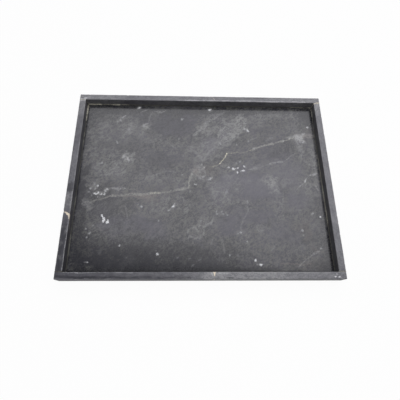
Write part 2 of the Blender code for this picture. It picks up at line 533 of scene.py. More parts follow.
GOLD_VEINS = (
    (0, 0.22, (17.6, 25.2, 0.3), (20.6, 26.2, 0.8), (24.6, 27.6, 0.3), (27, 28.8, 0.3)),
    (1, 0.9, (28.6, 29.8, 0.8), (29.8, 31.2, 1), (32.4, 34.6, 0.55), (35.4, 38.8, 0.5), (37.6, 42.4, 0.5),
     (39.6, 46.4, 0.55), (41.4, 49.6, 0.9)),
    (0, 0.22, (12, 27, 0.2), (17, 25.2, 0.5), (20.6, 25, 1), (24, 27, 0.3)),
    (0, 0.28, (42.5, 50, 0.6), (47, 50, 0.7), (53, 50.6, 0.7), (57, 51.6, 0.4), (62, 50, 0.2),
     (67, 51.4, 0.4), (72, 52.6, 0.4), (77, 55, 0.5), (83, 57, 0.8)),
    (0, 0.25, (-78, -20.6, 0.5), (-70, -19.6, 0.9), (-63, -19.4, 0.8)),
)
ROSY_VEINS = (
    (0, 0.5, (-114, -20.6, 0.3), (-106, -20, 0.4), (-99, -20.4, 0.2)),
    (0, 0.4, (-120, -26.4, 0.8), (-104, -25, 1.6), (-94, -25.5, 2), (-86, -26, 2.8), (-77, -26, 2.8),
     (-66, -24, 1.2)),
    (0, 0.4, (-13, 14, 1.5), (-10, 15.6, 2.4), (-6, 18, 2.6), (-3, 20, 1.4)),
    (0, 0.35, (112, -126, 0.8), (125, -127, 1.2), (140, -128, 1.2), (158, -127, 0.8)),
    (0, 0.35, (169, 81, 2), (177, 81.4, 3.6), (187, 82, 3.6)),
)
PALE_VEINS = (
    (0, 0.4, (-179, -38.4, 1), (-176, -36, 1.4), (-170, -35, 1.6), (-165, -36, 0.8)),
    (0, 0.3, (-180, -39, 0.8), (-174, -40.6, 1.2), (-169, -41, 0.9)),
    (1, 0.25, (-170.4, -49, 0.8), (-170, -42, 1.3)),
    (1, 0.34, (-9, 19, 0.6), (-6, 23, 1), (-3.6, 27, 0.9), (-2.6, 31, 0.4)),
    (0, 0.36, (-4, 19, 0.8), (1, 20.6, 1.6), (5, 18.6, 1.8), (7.6, 14, 1)),
    (0, 0.36, (-6, 6, 0.6), (-2, 6.4, 1.3), (3, 8, 1.5), (7, 12, 0.9)),
    (0, 0.55, (74, 20, 0.3), (79, 22.4, 0.9), (83, 24, 1.6), (86.6, 25, 0.9)),
    (0, 0.3, (88, 25, 0.6), (92, 25.2, 0.4), (96, 26, 1), (98.4, 26.4, 0.4)),
    (0, 0.6, (101, 28, 0.1), (108, 29.6, 0.6), (111, 31, 1.6), (114, 32, 0.9), (120, 33.2, 0.9),
     (126, 34, 1), (132, 34.6, 0.8), (136, 37, 0.4), (141, 42, 0.4), (146, 46, 0.4), (153, 51, 0.2)),
    (0, 0.6, (144, -16.5, 0.4), (149, -12, 0.5), (153.5, -7.4, 0.8), (158, -4, 0.6), (162, -0.6, 0.7),
     (164.4, 3, 1.1), (167, 7, 0.5), (171, 10.4, 0.8), (176, 12, 1.5), (181, 14, 1.7), (185, 16, 0.8)),
    (1, 0.26, (167, 69, 0.7), (166, 64, 0.8), (163, 60, 0.9), (166, 55, 0.9), (163, 49, 1.1),
     (162, 43, 0.9)),
    (0, 0.34, (163, 41, 0.5), (166, 37.6, 0.8), (170, 34.6, 0.8), (176, 30, 0.8)),
    (1, 0.26, (184.6, 44, 0.5), (184.6, 36, 0.8), (182, 30, 0.8), (181, 22, 0.8), (183, 16, 0.5)),
    (1, 0.42, (178.6, -4, 0.9), (180, -9, 1.5), (182, -14, 1.1)),
    (0, 0.55, (139, -131, 0.7), (142, -127, 0.8), (146, -124, 0.7), (150, -121, 0.6), (155, -118, 0.6),
     (160, -114.6, 0.7), (165, -111.6, 1.2), (171, -109, 0.9)),
    (0, 0.22, (146, -129, 0.4), (152, -125.6, 0.5), (158, -123, 0.4)),
    (1, 0.28, (-115, -41, 0.4), (-112.6, -47, 0.7), (-111, -55, 0.6), (-110, -61, 0.9)),
    (0, 0.6, (-139, -13, 0.7), (-134, -13.6, 1.4), (-130, -14, 1.1), (-126, -14, 1.9), (-122, -12.8, 0.9),
     (-118, -12.6, 1.3), (-115, -13, 0.7)),
    (0, 0.26, (-88, 3, 0.8), (-83, 6.6, 1), (-77, 8, 1), (-71, 9.4, 1.1), (-66, 12.4, 1), (-62, 15, 0.8),
     (-56, 17.4, 1), (-48, 17, 0.9), (-36, 14.6, 0.6)),
    (0, 0.24, (-58, 70, 0.5), (-52, 66, 0.8), (-46, 61, 0.9), (-41, 57, 0.8)),
    (1, 0.34, (-86.6, 106, 0.6), (-86, 114, 0.8), (-84, 120, 0.8), (-81.4, 125, 0.9)),
    (0, 0.36, (-81.6, 126, 0.8), (-77, 127.6, 0.8), (-72, 127, 1.8), (-67, 126, 2.2), (-62, 127, 0.8),
     (-58, 131, 0.5)),
    (0, 0.34, (-101, 124, 0.5), (-97, 127, 1), (-91, 130, 1.2), (-88, 130.6, 0.6)),
    (0, 0.44, (-13, 82, 1.2), (-8, 85.4, 1.9), (-3, 89, 1.3), (1, 94, 1.9), (5, 98, 2.9), (8.6, 103, 2.9),
     (12, 107, 2.2), (16, 111.6, 1.3)),
    (0, 0.32, (22, 112, 0.8), (26, 119, 1.3), (31, 123, 1.6), (37, 126, 1.6), (42, 129, 0.7)),
    (0, 0.26, (-12, 53, 1.4), (-6, 47, 1.7), (-1, 41, 1.7), (2.6, 37, 0.9)),
    (0, 0.26, (3, 38, 1), (8, 45, 1.3), (12, 51, 1.3), (18, 57, 1.5), (23, 61, 0.8)),
    (0, 0.24, (-26, 62, 0.6), (-16, 61, 0.8), (-9, 58.6, 0.8), (-2, 61, 0.9), (5, 65.6, 1), (12, 69, 1),
     (20, 72, 1.1), (26, 74, 0.8)),
    (1, 0.3, (-21, -83, 1), (-20, -77, 1.4)),
    (0, 0.32, (-19, -75.6, 0.8), (-12, -74, 1), (-8, -76.6, 1.2), (-3.6, -80.6, 1)),
    (0, 0.32, (-20, -90, 0.9), (-18, -86, 1.4), (-13, -89, 1.2), (-8, -90, 1.3), (-3, -89.6, 1.9),
     (1, -86.4, 1.4)),
    (1, 0.32, (2, -86, 1.2), (3, -81, 1), (4, -77, 0.8)),
    (0, 0.34, (2, -74, 1), (6, -71, 1.6), (12, -70, 1.8), (15, -66, 1.6), (18, -60, 1.2)),
    (1, 0.28, (-4, -73, 0.9), (0, -66, 1.2), (-0.6, -58, 1.1)),
    (1, 0.24, (33, -113, 0.7), (32, -106, 0.8), (32, -98, 1), (29, -92, 1)),
    (1, 0.24, (13, -99, 1.2), (16, -91, 0.9)),
    (1, 0.24, (57.6, -79, 1), (58, -72, 0.9), (62, -62, 0.7), (67, -55, 0.8), (70, -48, 0.8),
     (69.6, -38, 0.7), (70, -31, 0.9)),
    (1, 0.3, (99.6, -112, 1), (102, -107, 0.8), (105, -103, 0.8), (109, -98, 0.9)),
    (0, 0.2, (81, -75, 0.8), (84, -70.6, 0.8), (89, -69.4, 0.9), (93, -72, 0.8)),
    (0, 0.2, (81, -77, 0.8), (84, -79.6, 0.9), (90, -77.4, 0.9), (93, -74, 0.7)),
    (0, 0.26, (80, 74, 0.8), (84, 76.6, 1.3), (91, 79, 0.9)),
    (0, 0.26, (106, 73.6, 0.8), (111, 76.4, 2), (118, 79, 1.4)),
)


# Crystals: each is x, y, half its length and half its width, its strength and, if it is askew, its turn.
CRYSTALS = (
    (50.6, 21.7, 1.9, 1.8, 0.88), (54, 21.8, 1.3, 1, 0.55), (57.6, 23.4, 1.6, 1.4, 0.82, 30),
    (57.2, 15.5, 1.5, 1.9, 0.88), (66.4, 18.5, 2.7, 1.7, 0.9, 5), (62.8, 17.8, 1.4, 1, 0.5),
    (68.9, 26.2, 3.2, 1.2, 0.88, -58), (43.2, 24.4, 1.4, 1.4, 0.75), (61.6, 34.4, 2.8, 1, 0.42, 60),
    (55.2, 32, 0.9, 2.6, 0.3), (5, 24, 1.3, 1.5, 0.78), (1, 29.2, 1.2, 1.4, 0.5),
    (-2.4, 6.4, 1.6, 1.6, 0.35), (3.2, 7.8, 2, 1.6, 0.35), (14, 4.2, 3.9, 1.4, 0.55, 42),
    (-9.2, -5.6, 1.6, 1.4, 0.7), (-30.2, 11, 1.4, 1.4, 0.45), (-17.6, -17.6, 3.2, 1, 0.3, 65),
    (73, 95.4, 1.8, 1.4, 0.6, -30), (77.6, 92, 3.4, 1.3, 0.75, -62), (31.6, 67, 2.4, 1.4, 0.45, -40),
    (58, 65.4, 1.4, 1.4, 0.4), (86.6, 58.4, 3, 1.3, 0.42, 15), (135.4, 72.6, 2.4, 1.2, 0.45, 15),
    (78, 71.6, 1.4, 1.9, 0.35), (178.6, 99.8, 2.3, 1.8, 0.7), (-31.4, 112, 1.9, 2.1, 0.5),
    (-35.6, 75.2, 2.8, 1.6, 0.3, 55), (-28.2, 44.2, 2.6, 1.1, 0.25, 60), (15, 132.4, 3.2, 1.8, 0.9, 15),
    (-104, 133, 2.8, 1.7, 0.85, 15), (-135.8, 66.8, 3.2, 1, 0.45, -70), (-123, 41.6, 3.6, 2.3, 0.5, 60),
    (-116.2, 36.8, 4.6, 1.4, 0.45, -62), (-158.6, 29.2, 4.6, 1.1, 0.35, 5), (-156.2, 30.2, 1.5, 2.2, 0.4),
    (-169, 56, 2.6, 1.9, 0.28, 30), (-128.8, 115.6, 4.6, 1.4, 0.42, 35), (-133.2, 109, 1.6, 2.6, 0.42, 30),
    (-138, 105.6, 2.4, 1.6, 0.3), (-94.4, 98.4, 2.4, 3, 0.38), (-89, 102.6, 3.4, 1.5, 0.32, 20),
    (-88.6, 95.4, 3.4, 1.1, 0.32, -40), (-117, 89, 1.3, 6, 0.25, 10), (-158.4, -8.8, 1.5, 1.6, 0.9),
    (-161.8, -13.6, 1.2, 1.8, 0.5), (-169.2, -13.6, 2, 1.5, 0.5, 20), (-170.6, -19, 1.6, 1.3, 0.42),
    (-160.4, -22, 3.6, 1.2, 0.85), (-157, -19.6, 1.5, 2, 0.82, -20), (-151.8, -22.4, 1.5, 1.4, 0.75),
    (-147.4, -22.4, 1.4, 1.7, 0.8), (-147, -17.4, 1.1, 2.6, 0.5, -20), (-143.8, -14.9, 2.6, 1.8, 0.55, 20),
    (-166, -25, 1.1, 2.6, 0.35, 20), (-157, -26.6, 1, 1.2, 0.4), (-153.2, -27.2, 0.8, 1, 0.38),
    (-149.4, -26.2, 0.8, 1.2, 0.38), (-163.6, -5.2, 1.8, 4.4, 0.3, 20), (-147.3, -57, 3.4, 1.1, 1, -57),
    (-144.5, -62.6, 2.1, 3.9, 1), (-138.6, -66.4, 2.6, 1.8, 1, -30), (-138.5, -64.4, 0.9, 1.6, 1),
    (-90, -42, 1.7, 1.7, 0.55), (-95.6, -38.8, 1.5, 1.2, 0.28), (-43, -41.4, 1.8, 1.5, 0.85),
    (-42.2, -38.4, 0.9, 2.4, 0.6, -15), (-46, -44.4, 2.6, 0.7, 0.3, 45), (-49, -47.6, 2, 1.4, 0.45, 40),
    (-64.6, -64, 1.5, 1.5, 0.5), (-168.6, -76.4, 1.4, 1.3, 0.55), (-158.6, -72.4, 1.6, 1.3, 0.35, -30),
    (-163, -83.6, 2.6, 1.3, 0.5, 42), (-166.2, -90, 1.5, 1.5, 0.5), (-118.2, -101.8, 1.3, 1.5, 0.9),
    (-111, -95, 1.1, 1.3, 0.22), (-108, -119, 1.8, 1.1, 0.22, 20), (-63.6, -113.4, 2.3, 1.6, 0.85),
    (-65.4, -108.6, 0.9, 1.4, 0.26, 30), (-160.8, -125.3, 1.6, 1.1, 0.65), (-164.2, -125, 2.2, 0.6, 0.38),
    (38.6, -17.6, 4.6, 1.4, 0.32, 65), (22.4, -49.6, 0.9, 3.2, 0.38), (24, -53.4, 1.5, 1.3, 0.38),
    (31, -48.8, 1.1, 2.2, 0.28, -30), (32.6, -53.4, 1.5, 1.2, 0.38), (38.2, -54.6, 2.2, 1.1, 0.34),
    (57.6, -81.8, 1.4, 1.8, 0.6), (52.6, -83.6, 1.8, 1.3, 0.38), (66, -95, 1.3, 1.4, 0.5),
    (69.6, -33, 0.9, 2.2, 0.28, 15), (40.2, -115.4, 1.6, 1.4, 0.55), (51.6, -115.4, 1.8, 1, 0.26),
    (76.4, -122, 1.6, 2.6, 0.9, -10), (83.6, -129.4, 2.2, 1.4, 0.9), (79.6, -128.6, 1.8, 1.1, 0.4),
    (87.2, -128, 1.2, 0.9, 0.34), (-34.6, -118.6, 2.6, 1.2, 0.28, 35), (-17.6, -120, 2.6, 1.1, 0.24),
    (-3.6, -121.6, 4.2, 0.9, 0.24, 28), (-13, -129.6, 3.2, 1.2, 0.26, 40), (153.4, -7, 1.4, 1, 0.5, 30),
    (163.6, 1.6, 1.2, 2.3, 0.75, -20), (180, 13.6, 2.6, 1.5, 0.42, 20), (149.2, -78, 1.8, 1.9, 0.55),
    (150.2, -85, 1.3, 1.3, 0.34), (168, -52.2, 2.2, 1.1, 0.45, 50), (179.6, -57, 1.2, 1.7, 0.85),
    (173.4, -104.4, 1.7, 1.5, 0.5), (162.4, 80.8, 3.6, 2.4, 0.38, 20), (169, 84.8, 3.2, 1, 0.42, 40),
    (168.6, 74, 2.8, 1, 0.42, -50), (164, 71.4, 4.2, 1.8, 0.34, -20), (158, 84.4, 4.4, 0.9, 0.34, 10),
    (145.8, 79, 0.8, 3.4, 0.3), (167.6, 70.6, 1.1, 2.3, 0.42, 20),
)

# Patches, in the same form: smooth, frosty, smoky, dark, pitted, rusty and bluish. A frosty one of low
# strength is a place where the stone is only a little lighter, and a pitted one of low strength a place where
# it is a little darker. The dark and pitted patches also hold painted shade along the foot of the walls, on
# the left side and towards the front-left corner.
SMOOTH = (
    (-110, -70, 46, 13, 0.9), (-66, -84, 15, 18, 0.9), (-150, -50, 18, 9, 0.7), (-155, -105, 24, 12, 0.6),
    (-92, 112, 12, 14, 0.7), (-48, 98, 34, 22, 0.9), (-62, 36, 30, 13, 0.7), (-20, 118, 16, 12, 0.8),
    (66, 4, 34, 9, 0.9), (92, -18, 30, 16, 0.8), (44, -66, 18, 18, 0.8), (92, -56, 24, 12, 0.8),
    (122, 46, 28, 12, 0.8, 12), (112, 62, 30, 8, 0.6, 12), (96, 92, 22, 8, 0.7), (6, 76, 16, 7, 0.7),
    (128, -88, 22, 14, 0.5), (146, -30, 14, 14, 0.5), (-30, -124, 50, 8, 0.5), (-90, 14, 20, 8, 0.4),
)
FROST = (
    (162, 80, 8, 7, 1), (169, 86, 6, 2.2, 0.8, 38), (168, 74, 6, 3, 0.8, -50), (159, 73, 3, 5, 0.65),
    (150, 81, 10, 2, 0.65, 10), (179, 83, 10, 4, 0.4, 5), (161, 63, 4, 9, 0.25), (-145, -16, 4, 3, 0.6, 20),
    (-129, -13.2, 9, 2, 0.5), (-164, -13, 5, 9, 0.3, 15), (-155, -21, 10, 3, 0.55),
    (-120, 39, 5, 7, 0.45, 20), (12, 4, 6, 3, 0.4, 42), (0, 6, 5, 4, 0.35), (-16, 8, 3, 8, 0.3, -15),
    (6, 103, 4, 12, 0.35, -35), (76, 94, 5, 4, 0.4, -50), (-104, 133, 5, 2.6, 0.4, 15),
    (15, 131, 4, 4, 0.35), (-118, 92, 4, 9, 0.35, -20), (-92, 98, 7, 6, 0.22, 30),
    (-130, 113, 7, 4, 0.22, 40), (-4, 22, 6, 7, 0.3, 40), (84, 23, 5, 3, 0.35, 10),
    (-128, -13, 11, 2.4, 0.4, 3), (-170, -38, 7, 5, 0.25, -20), (-42, -41, 3, 5, 0.4, -20),
    (42, 87, 8, 14, 0.18, -15), (63, 104, 12, 6, 0.14, 10), (8, 66, 26, 7, 0.1, 15), (36, 66, 8, 6, 0.12),
    (152, -6, 16, 10, 0.08, 30), (185, 48, 4, 28, 0.14), (-134, 15, 7, 6, 0.14, 40),
    (-102, 78, 9, 5, 0.1, 20), (-58, -50, 9, 8, 0.1), (44, -6, 20, 8, 0.08), (84, -2, 30, 7, 0.08, -10),
    (100, 20, 20, 6, 0.08, -20), (-160, -92, 8, 6, 0.1), (144, -108, 14, 7, 0.1, 15),
    (98, -127, 16, 5, 0.1), (118, -136, 10, 3, 0.14), (-104, -122, 8, 6, 0.1), (4, -124, 24, 5, 0.06),
    (-184, 48, 4, 8, 0.1), (30, -52, 9, 4, 0.28), (57, -81, 7, 3, 0.28), (110, -4, 7, 8, 0.3),
)
SMOKE = (
    (-150, 104, 34, 16, 0.34, 12), (-118, 108, 13, 15, 0.55), (-172, 84, 20, 12, 0.48, 8),
    (-92, 96, 13, 12, 0.5, 30), (-117, 88, 14, 10, 0.5), (-72, 124, 14, 6, 0.5), (-170, 48, 14, 16, 0.38),
    (-146, 22, 30, 14, 0.6, 8), (-142, 46, 12, 9, 0.35), (-120, 38, 10, 12, 0.75), (-162, -8, 9, 7, 0.38),
    (-168, -38, 9, 5, 0.45), (-72, 70, 12, 8, 0.4), (-47, 61, 14, 6, 0.3, -30), (-70, 8, 34, 9, 0.3, 14),
    (6, 100, 18, 5, 0.6, 52), (26, 108, 18, 13, 0.45), (38, 76, 18, 8, 0.8, 42), (43, 90, 12, 18, 1.3, -25),
    (66, 104, 17, 9, 1, 10), (32, 62, 15, 8, 0.6, 30), (24, 46, 9, 10, 0.4), (6, 84, 16, 15, 0.62),
    (56, 94, 20, 9, 0.8, 50), (66, 112, 16, 9, 0.7, 55), (48, 108, 9, 7, 0.5), (4, 54, 20, 13, 0.5, 30),
    (-12, 14, 8, 9, 0.7, 20), (2, 22, 14, 9, 0.65, 10), (50, 10, 9, 8, 0.4), (58, -5, 13, 8, 0.42),
    (34, 24, 16, 10, 0.3), (4, 8, 10, 6, 0.4), (28, -14, 9, 10, 0.6), (34, -28, 14, 10, 0.5),
    (13, -12, 4, 6, 0.4), (39, -38, 6, 5, 0.45), (18, -42, 10, 6, 0.35, -20), (-9, -82, 18, 12, 0.36, 10),
    (8, -67, 14, 10, 0.45, 40), (106, -4, 14, 12, 0.8), (113, -16, 6, 8, 0.5), (128, 0, 8, 6, 0.35),
    (121, -34, 6, 10, 0.4, 10), (124, -58, 12, 6, 0.3), (86, -75, 11, 7, 0.3), (96, 118, 18, 13, 0.5, 10),
    (76, 104, 9, 12, 0.4), (124, 122, 16, 9, 0.3), (146, 122, 14, 7, 0.4), (158, 100, 14, 20, 0.3),
    (162, 56, 8, 14, 0.35), (163, 78, 13, 9, 0.6, 10), (172, -10, 10, 12, 0.45), (166, -22, 9, 7, 0.35),
    (152, -45, 9, 3.5, 0.3), (174, -84, 5, 28, 0.25), (184, 34, 6, 28, 0.4), (160, -128, 22, 7, 0.35, 5),
    (118, -133, 8, 4, 0.4), (60, -35, 14, 9, 0.3), (60, -86, 10, 7, 0.3), (-60, -85, 20, 18, 0.2),
    (-125, -80, 30, 14, 0.2), (-64, -36, 14, 10, 0.36, 20), (-28, -38, 12, 10, 0.4), (-28, -5, 11, 8, 0.32),
)
# Dark patches: darker stone, and painted shade in bands along the foot of the front, back, left and right
# walls and over the front-left corner, where the softbox's sheen falls off.
DARK_AND_SHADE = (
    (-110, -128, 88, 16, 0.95, -5), (-20, -131, 88, 12, 0.9, -4), (-30, -112, 100, 10, 0.55, -3),
    (-95, -110, 46, 9, 0.85, -3), (-92, -98, 56, 12, 0.5, -3), (156, -88, 10, 22, 0.35),
    (104, 74, 17, 8, 0.32), (14, -106, 26, 8, 0.3), (-186, -70, 10, 60, 0.6), (-184, -5, 10, 32, 0.9),
    (-170, -112, 24, 24, 0.65), (-164, -131, 28, 9, 0.8), (-186, 96, 10, 42, 0.6), (-150, 135, 50, 7, 0.5),
    (-50, 125, 120, 8, 0.5), (90, 127, 90, 7, 0.35), (-166, 118, 18, 12, 0.45), (178, 122, 20, 20, 0.85),
    (184, -95, 12, 52, 0.55), (184, -130, 18, 15, 0.9), (-146, -42, 22, 18, 0.6), (-182, -32, 10, 16, 0.85),
    (-108, 62, 34, 12, 0.5), (-98, 42, 14, 10, 0.28), (-60, 28, 16, 14, 0.22), (-130, -40, 24, 11, 0.4),
    (-100, -34, 14, 5, 0.5, -10), (3, 78, 16, 7, 0.4), (26, 92, 5, 5, 0.25), (24, 103, 5, 4, 0.4),
    (43, 110, 4, 5, 0.5), (48, 38, 18, 9, 0.35), (124, 46, 12, 12, 0.5), (135, 62, 22, 11, 0.4, 10),
    (130, -10, 8, 10, 0.35), (82, -42, 16, 10, 0.3), (-20, -28, 18, 9, 0.3), (-150, -108, 14, 7, 0.3),
    (-70, -114, 44, 12, 0.45, -4), (-20, -132, 8, 5, 0.4), (130, -52, 8, 8, 0.3),
)
# Pits: small black holes in the stone, and painted shade: a dark line along the foot of the front wall, the
# back wall's painted shadow and reflection in the floor along its foot, the right wall's foot, and faint
# shade towards the front-left corner.
PITS_AND_SHADE = (
    (0, -138.6, 260, 2.6, 0.95), (0, -137, 260, 5, 0.5), (-20, -136, 170, 12, 0.22),
    (-60, 128, 200, 5, 0.6), (-90, 126, 110, 7, 0.5), (-162, 118, 26, 14, 0.4), (-64, 110, 60, 14, 0.26),
    (-107, 106, 8, 8, 0.32), (-128, 114, 8, 8, 0.3), (-110, 96, 40, 8, 0.12, 10), (-80, 86, 10, 8, 0.2),
    (-148, 58, 14, 10, 0.22), (-180, 100, 12, 24, 0.22), (-150, -17, 24, 11, 0.5, 20),
    (-5, 104, 6, 12, 0.2), (-150, 24, 10, 8, 0.2), (-50, 72, 8, 8, 0.2), (176, 66, 8, 8, 0.16),
    (-134, -32, 12, 14, 0.3), (-140, -54, 26, 12, 0.14), (-78, -14, 8, 6, 0.25), (-88, -114, 14, 12, 0.26),
    (-88, -88, 10, 12, 0.16), (-125, -96, 40, 14, 0.16), (-50, -72, 8, 8, 0.16), (-22, -86, 32, 8, 0.16),
    (14, -108, 26, 10, 0.18), (-30, -112, 60, 12, 0.14), (154, -76, 10, 8, 0.28), (134, -66, 16, 6, 0.16),
    (172, -131, 26, 11, 0.55), (166, -98, 10, 12, 0.28), (189, -122, 6, 34, 0.6), (184, -108, 12, 36, 0.36),
    (180, -44, 12, 32, 0.28), (181, 124, 14, 12, 0.65), (182, 102, 12, 28, 0.38), (98, 72, 18, 9, 0.18),
    (118, 100, 32, 14, 0.14), (84, 114, 12, 5, 0.25), (-16, 36, 10, 20, 0.14, -20), (104, 35, 10, 6, 0.12),
    (-156, -14, 3.2, 2.8, 0.55), (-150, -16.5, 2, 1.6, 0.55), (-139.4, -20, 1.8, 5, 0.6),
    (-141, -8, 3, 2.4, 0.5), (-161.6, -17.4, 1.8, 1.4, 0.9), (-164, -27, 8, 2, 0.35, 10),
    (-152, -25.5, 5, 1.2, 0.4), (-10.4, -8.8, 3.6, 2.6, 0.6), (7, -4, 3, 2, 0.4), (12, 22, 5, 5, 0.3),
    (3, 12, 5, 2.6, 0.4), (-45, -79, 4, 2, 0.4), (58, 73, 3, 4, 0.4), (-47, -39, 4, 5, 0.35),
    (-60, 133, 2, 3, 0.5),
)
RUSTY = (
    (157, -78, 7, 16, 0.6), (148, -72, 8, 8, 0.5), (172, 88, 12, 9, 0.5), (166, -106, 8, 4, 0.5),
    (178, 82, 12, 6, 0.8), (-8, 17, 8, 7, 0.7), (15, 20, 7, 9, 0.5), (-82, -26, 12, 5, 0.6),
    (160, -128, 24, 9, 0.3),
)
BLUISH = (
    (66, 4, 44, 12, 0.42), (92, -18, 36, 18, 0.4), (34, -12, 20, 20, 0.4), (130, 14, 28, 26, 0.34),
    (150, -30, 20, 12, 0.25), (20, 66, 26, 16, 0.4, 30), (84, 28, 26, 10, 0.28, 12),
    (34, -74, 16, 14, 0.32), (74, -52, 26, 10, 0.28), (116, -78, 20, 9, 0.28),
)

SLAB_DEEP = (0.020, 0.020, 0.027)
SLAB_GREY = (0.074, 0.071, 0.092)
OLIVE_GREY = (0.120, 0.122, 0.107)
SMOKE_GREY = (0.205, 0.207, 0.201)
BLUE_GREY = (0.118, 0.114, 0.142)
PALE_GREY = (0.34, 0.34, 0.34)
CREAM = (0.42, 0.415, 0.37)
GOLD = (0.90, 0.85, 0.64)
ROSY = (0.22, 0.185, 0.165)
CALCITE = (0.80, 0.81, 0.83)
PIT_AND_SHADE_BLACK = (0.008, 0.008, 0.010)
SAWN_GREY = (0.16, 0.16, 0.165)
BEDDING = (0.8, 1.2, 1.0)
BEDDING_TURN = math.radians(-36)
FLOOR_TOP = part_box("base_slab")[1].z / MM


def make_slab_marble():
    """Dark grey marble, honed on top. Only the top shows its full pattern; below it is the same stone."""
    material, tree, shader, position, facing = start_material("semi-polished grey marble")
    bent = warped(tree, position, broad=50.0, fine=12.0)
    ground = use_group(tree, marble_ground, position=position, stretch=BEDDING, turn=BEDDING_TURN)
    tone = math_of(tree, "MULTIPLY_ADD", ground["Mottle"], 0.4, times(tree, ground["Clouds"], 0.5))
    # The dark patches darken the tone: darker stone, and painted shade along the walls' feet and over the
    # front-left corner.
    dark = ovals_mask(tree, bent, "dark patches and painted shade", DARK_AND_SHADE)
    tone = math_of(tree, "MULTIPLY_ADD", dark, -0.8, tone)
    colour = mixed(tree, math_of(tree, "MAXIMUM", tone, 0.0), SLAB_DEEP, SLAB_GREY)
    texture = math_of(tree, "MULTIPLY_ADD", ground["Mottle"], 0.5, times(tree, ground["Speckle"], 0.5))
    smooth = math_of(tree, "MAXIMUM", ovals_mask(tree, bent, "smooth patches", SMOOTH), dark)
    coarse = math_of(tree, "MULTIPLY_ADD", smooth, -0.9, 1.0)
    mottled = times(tree, ramp(tree, texture, 0.28, 0.78, 0.0, 0.76), coarse)
    colour = mixed(tree, mottled, colour, OLIVE_GREY)
    colour = mixed(tree, ovals_mask(tree, bent, "bluish patches", BLUISH), colour, BLUE_GREY)
    texture = math_of(tree, "MULTIPLY_ADD", ground["Wisps"], 0.4, times(tree, texture, 0.6))
    texture = ramp(tree, texture, 0.25, 0.8, 0.05, 1.2)
    smoke = times(tree, ovals_mask(tree, bent, "smoky patches", SMOKE), texture)
    hairs = times(tree, ground["Hairs"], math_of(tree, "MULTIPLY_ADD", smoke, 0.6, 0.12))
    smoke = math_of(tree, "MINIMUM", math_of(tree, "MAXIMUM", smoke, hairs), 1.0)
    colour = mixed(tree, smoke, colour, SMOKE_GREY)
    rust = times(tree, ovals_mask(tree, bent, "rusty patches", RUSTY), 0.3)
    colour = mixed(tree, rust, colour, ROSY)
    ragged = warped(tree, position, broad=5.0, fine=4.0)
    # Pits, and painted shade along the walls' feet, are darkened towards near black.
    colour = mixed(tree, ovals_mask(tree, ragged, "dark pits and painted shade", PITS_AND_SHADE), colour, PIT_AND_SHADE_BLACK)

    broken = noise_of(tree, position, 0.42, 4.0, 0.75)
    whole = ramp(tree, broken, 0.38, 0.62, 0.15, 1.0)
    frost = ovals_mask(tree, ragged, "frosty patches", FROST)
    pale = math_of(tree, "MAXIMUM", veins_mask(tree, ragged, "pale veins", PALE_VEINS, 1.25), frost)
    colour = mixed(tree, times(tree, pale, whole), colour, PALE_GREY)
    for name, veins, swell, tint in (
        ("rosy veins", ROSY_VEINS, 1.0, ROSY),
        ("cream veins", CREAM_VEINS, 1.9, CREAM),
        ("golden veins", GOLD_VEINS, 1.0, GOLD),
    ):
        colour = mixed(tree, times(tree, veins_mask(tree, ragged, name, veins, swell), whole), colour, tint)
    jagged = warped(tree, position, broad=3.0, fine=5.5)
    crystals = ovals_mask(tree, jagged, "calcite crystals", CRYSTALS, depth=4.0, height=FLOOR_TOP)
    white = math_of(tree, "POWER", crystals, 1.6)
    white = times(tree, white, ramp(tree, broken, 0.34, 0.56, 0.45, 1.0))
    white = math_of(tree, "MAXIMUM", white, times(tree, ground["Grains"], 0.12))
    colour = mixed(tree, white, colour, CALCITE)

    surface = use_group(tree, honed_surface, position=position, shine_drift=0.03, base=0.20)
    below = use_group(tree, sawn_underside, position=position, facing=facing)
    colour = mixed(tree, times(tree, below["Sawn"], 0.6), colour, SAWN_GREY)
    roughness = math_of(tree, "ADD", surface["Roughness"], times(tree, white, 0.12))
    roughness = math_of(tree, "MAXIMUM", roughness, times(tree, below["Sawn"], 0.62))
    height = math_of(tree, "MULTIPLY_ADD", below["Height"], 1.4, surface["Height"])
    dress(tree, shader, colour, roughness, relief(tree, height, 0.5, 0.04 * MM))
    shader.inputs["IOR"].default_value = MARBLE_IOR
    return material


def slab_radii(x):
    top = [worn_radius(x, SLAB_ARRIS, pattern) for pattern in (3, 4)]
    return SLAB_ARRIS, top[0], top[1], SLAB_ARRIS


slab_low, slab_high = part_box("base_slab")
slab_size = slab_high - slab_low
slab_mesh = bar_mesh("base slab stone", slab_size, SLAB_SPACING, SLAB_ARRIS, (1, 1, 1, 1), slab_radii)
slab_mesh.transform(Matrix.Translation(((slab_low.x + slab_high.x) / 2, slab_low.y, slab_low.z)))
slab_marble = make_slab_marble()
add_piece("floor_slab", slab_mesh, slab_marble, "slab_marble", "base_slab")


# Wall strips: four bars of the same marble, sawn 10 mm thick and 20 mm high, set on edge round the slab.
# The front and back strips run the full length and the side strips butt between them. Their faces are
# honed, and their edges are eased by hand with a rubbing block, so they catch the light.

STRIP_SPACING = 1.25 * MM
STRIP_ARRIS = 0.9 * MM
JOINT_ARRIS = 0.2 * MM
RIM_LEVEL = 22

STRIP_DEEP = (0.060, 0.060, 0.074)
STRIP_GREY = (0.125, 0.124, 0.142)
STRIP_PALE = (0.27, 0.27, 0.278)
STRIP_CREAM = (0.80, 0.70, 0.56)
RUBBED_GREY = (0.22, 0.22, 0.225)
# Colour of the rubbed spots and the painted highlights along the rims' edges.
RUBBED_AND_HIGHLIGHT_WHITE = (0.62, 0.62, 0.64)
# Colour of the dark bands: darker stone, and painted shade towards the front-left corner.
DARK_BAND_AND_SHADE = (0.046, 0.046, 0.056)
DARK_STREAK = (0.026, 0.026, 0.033)
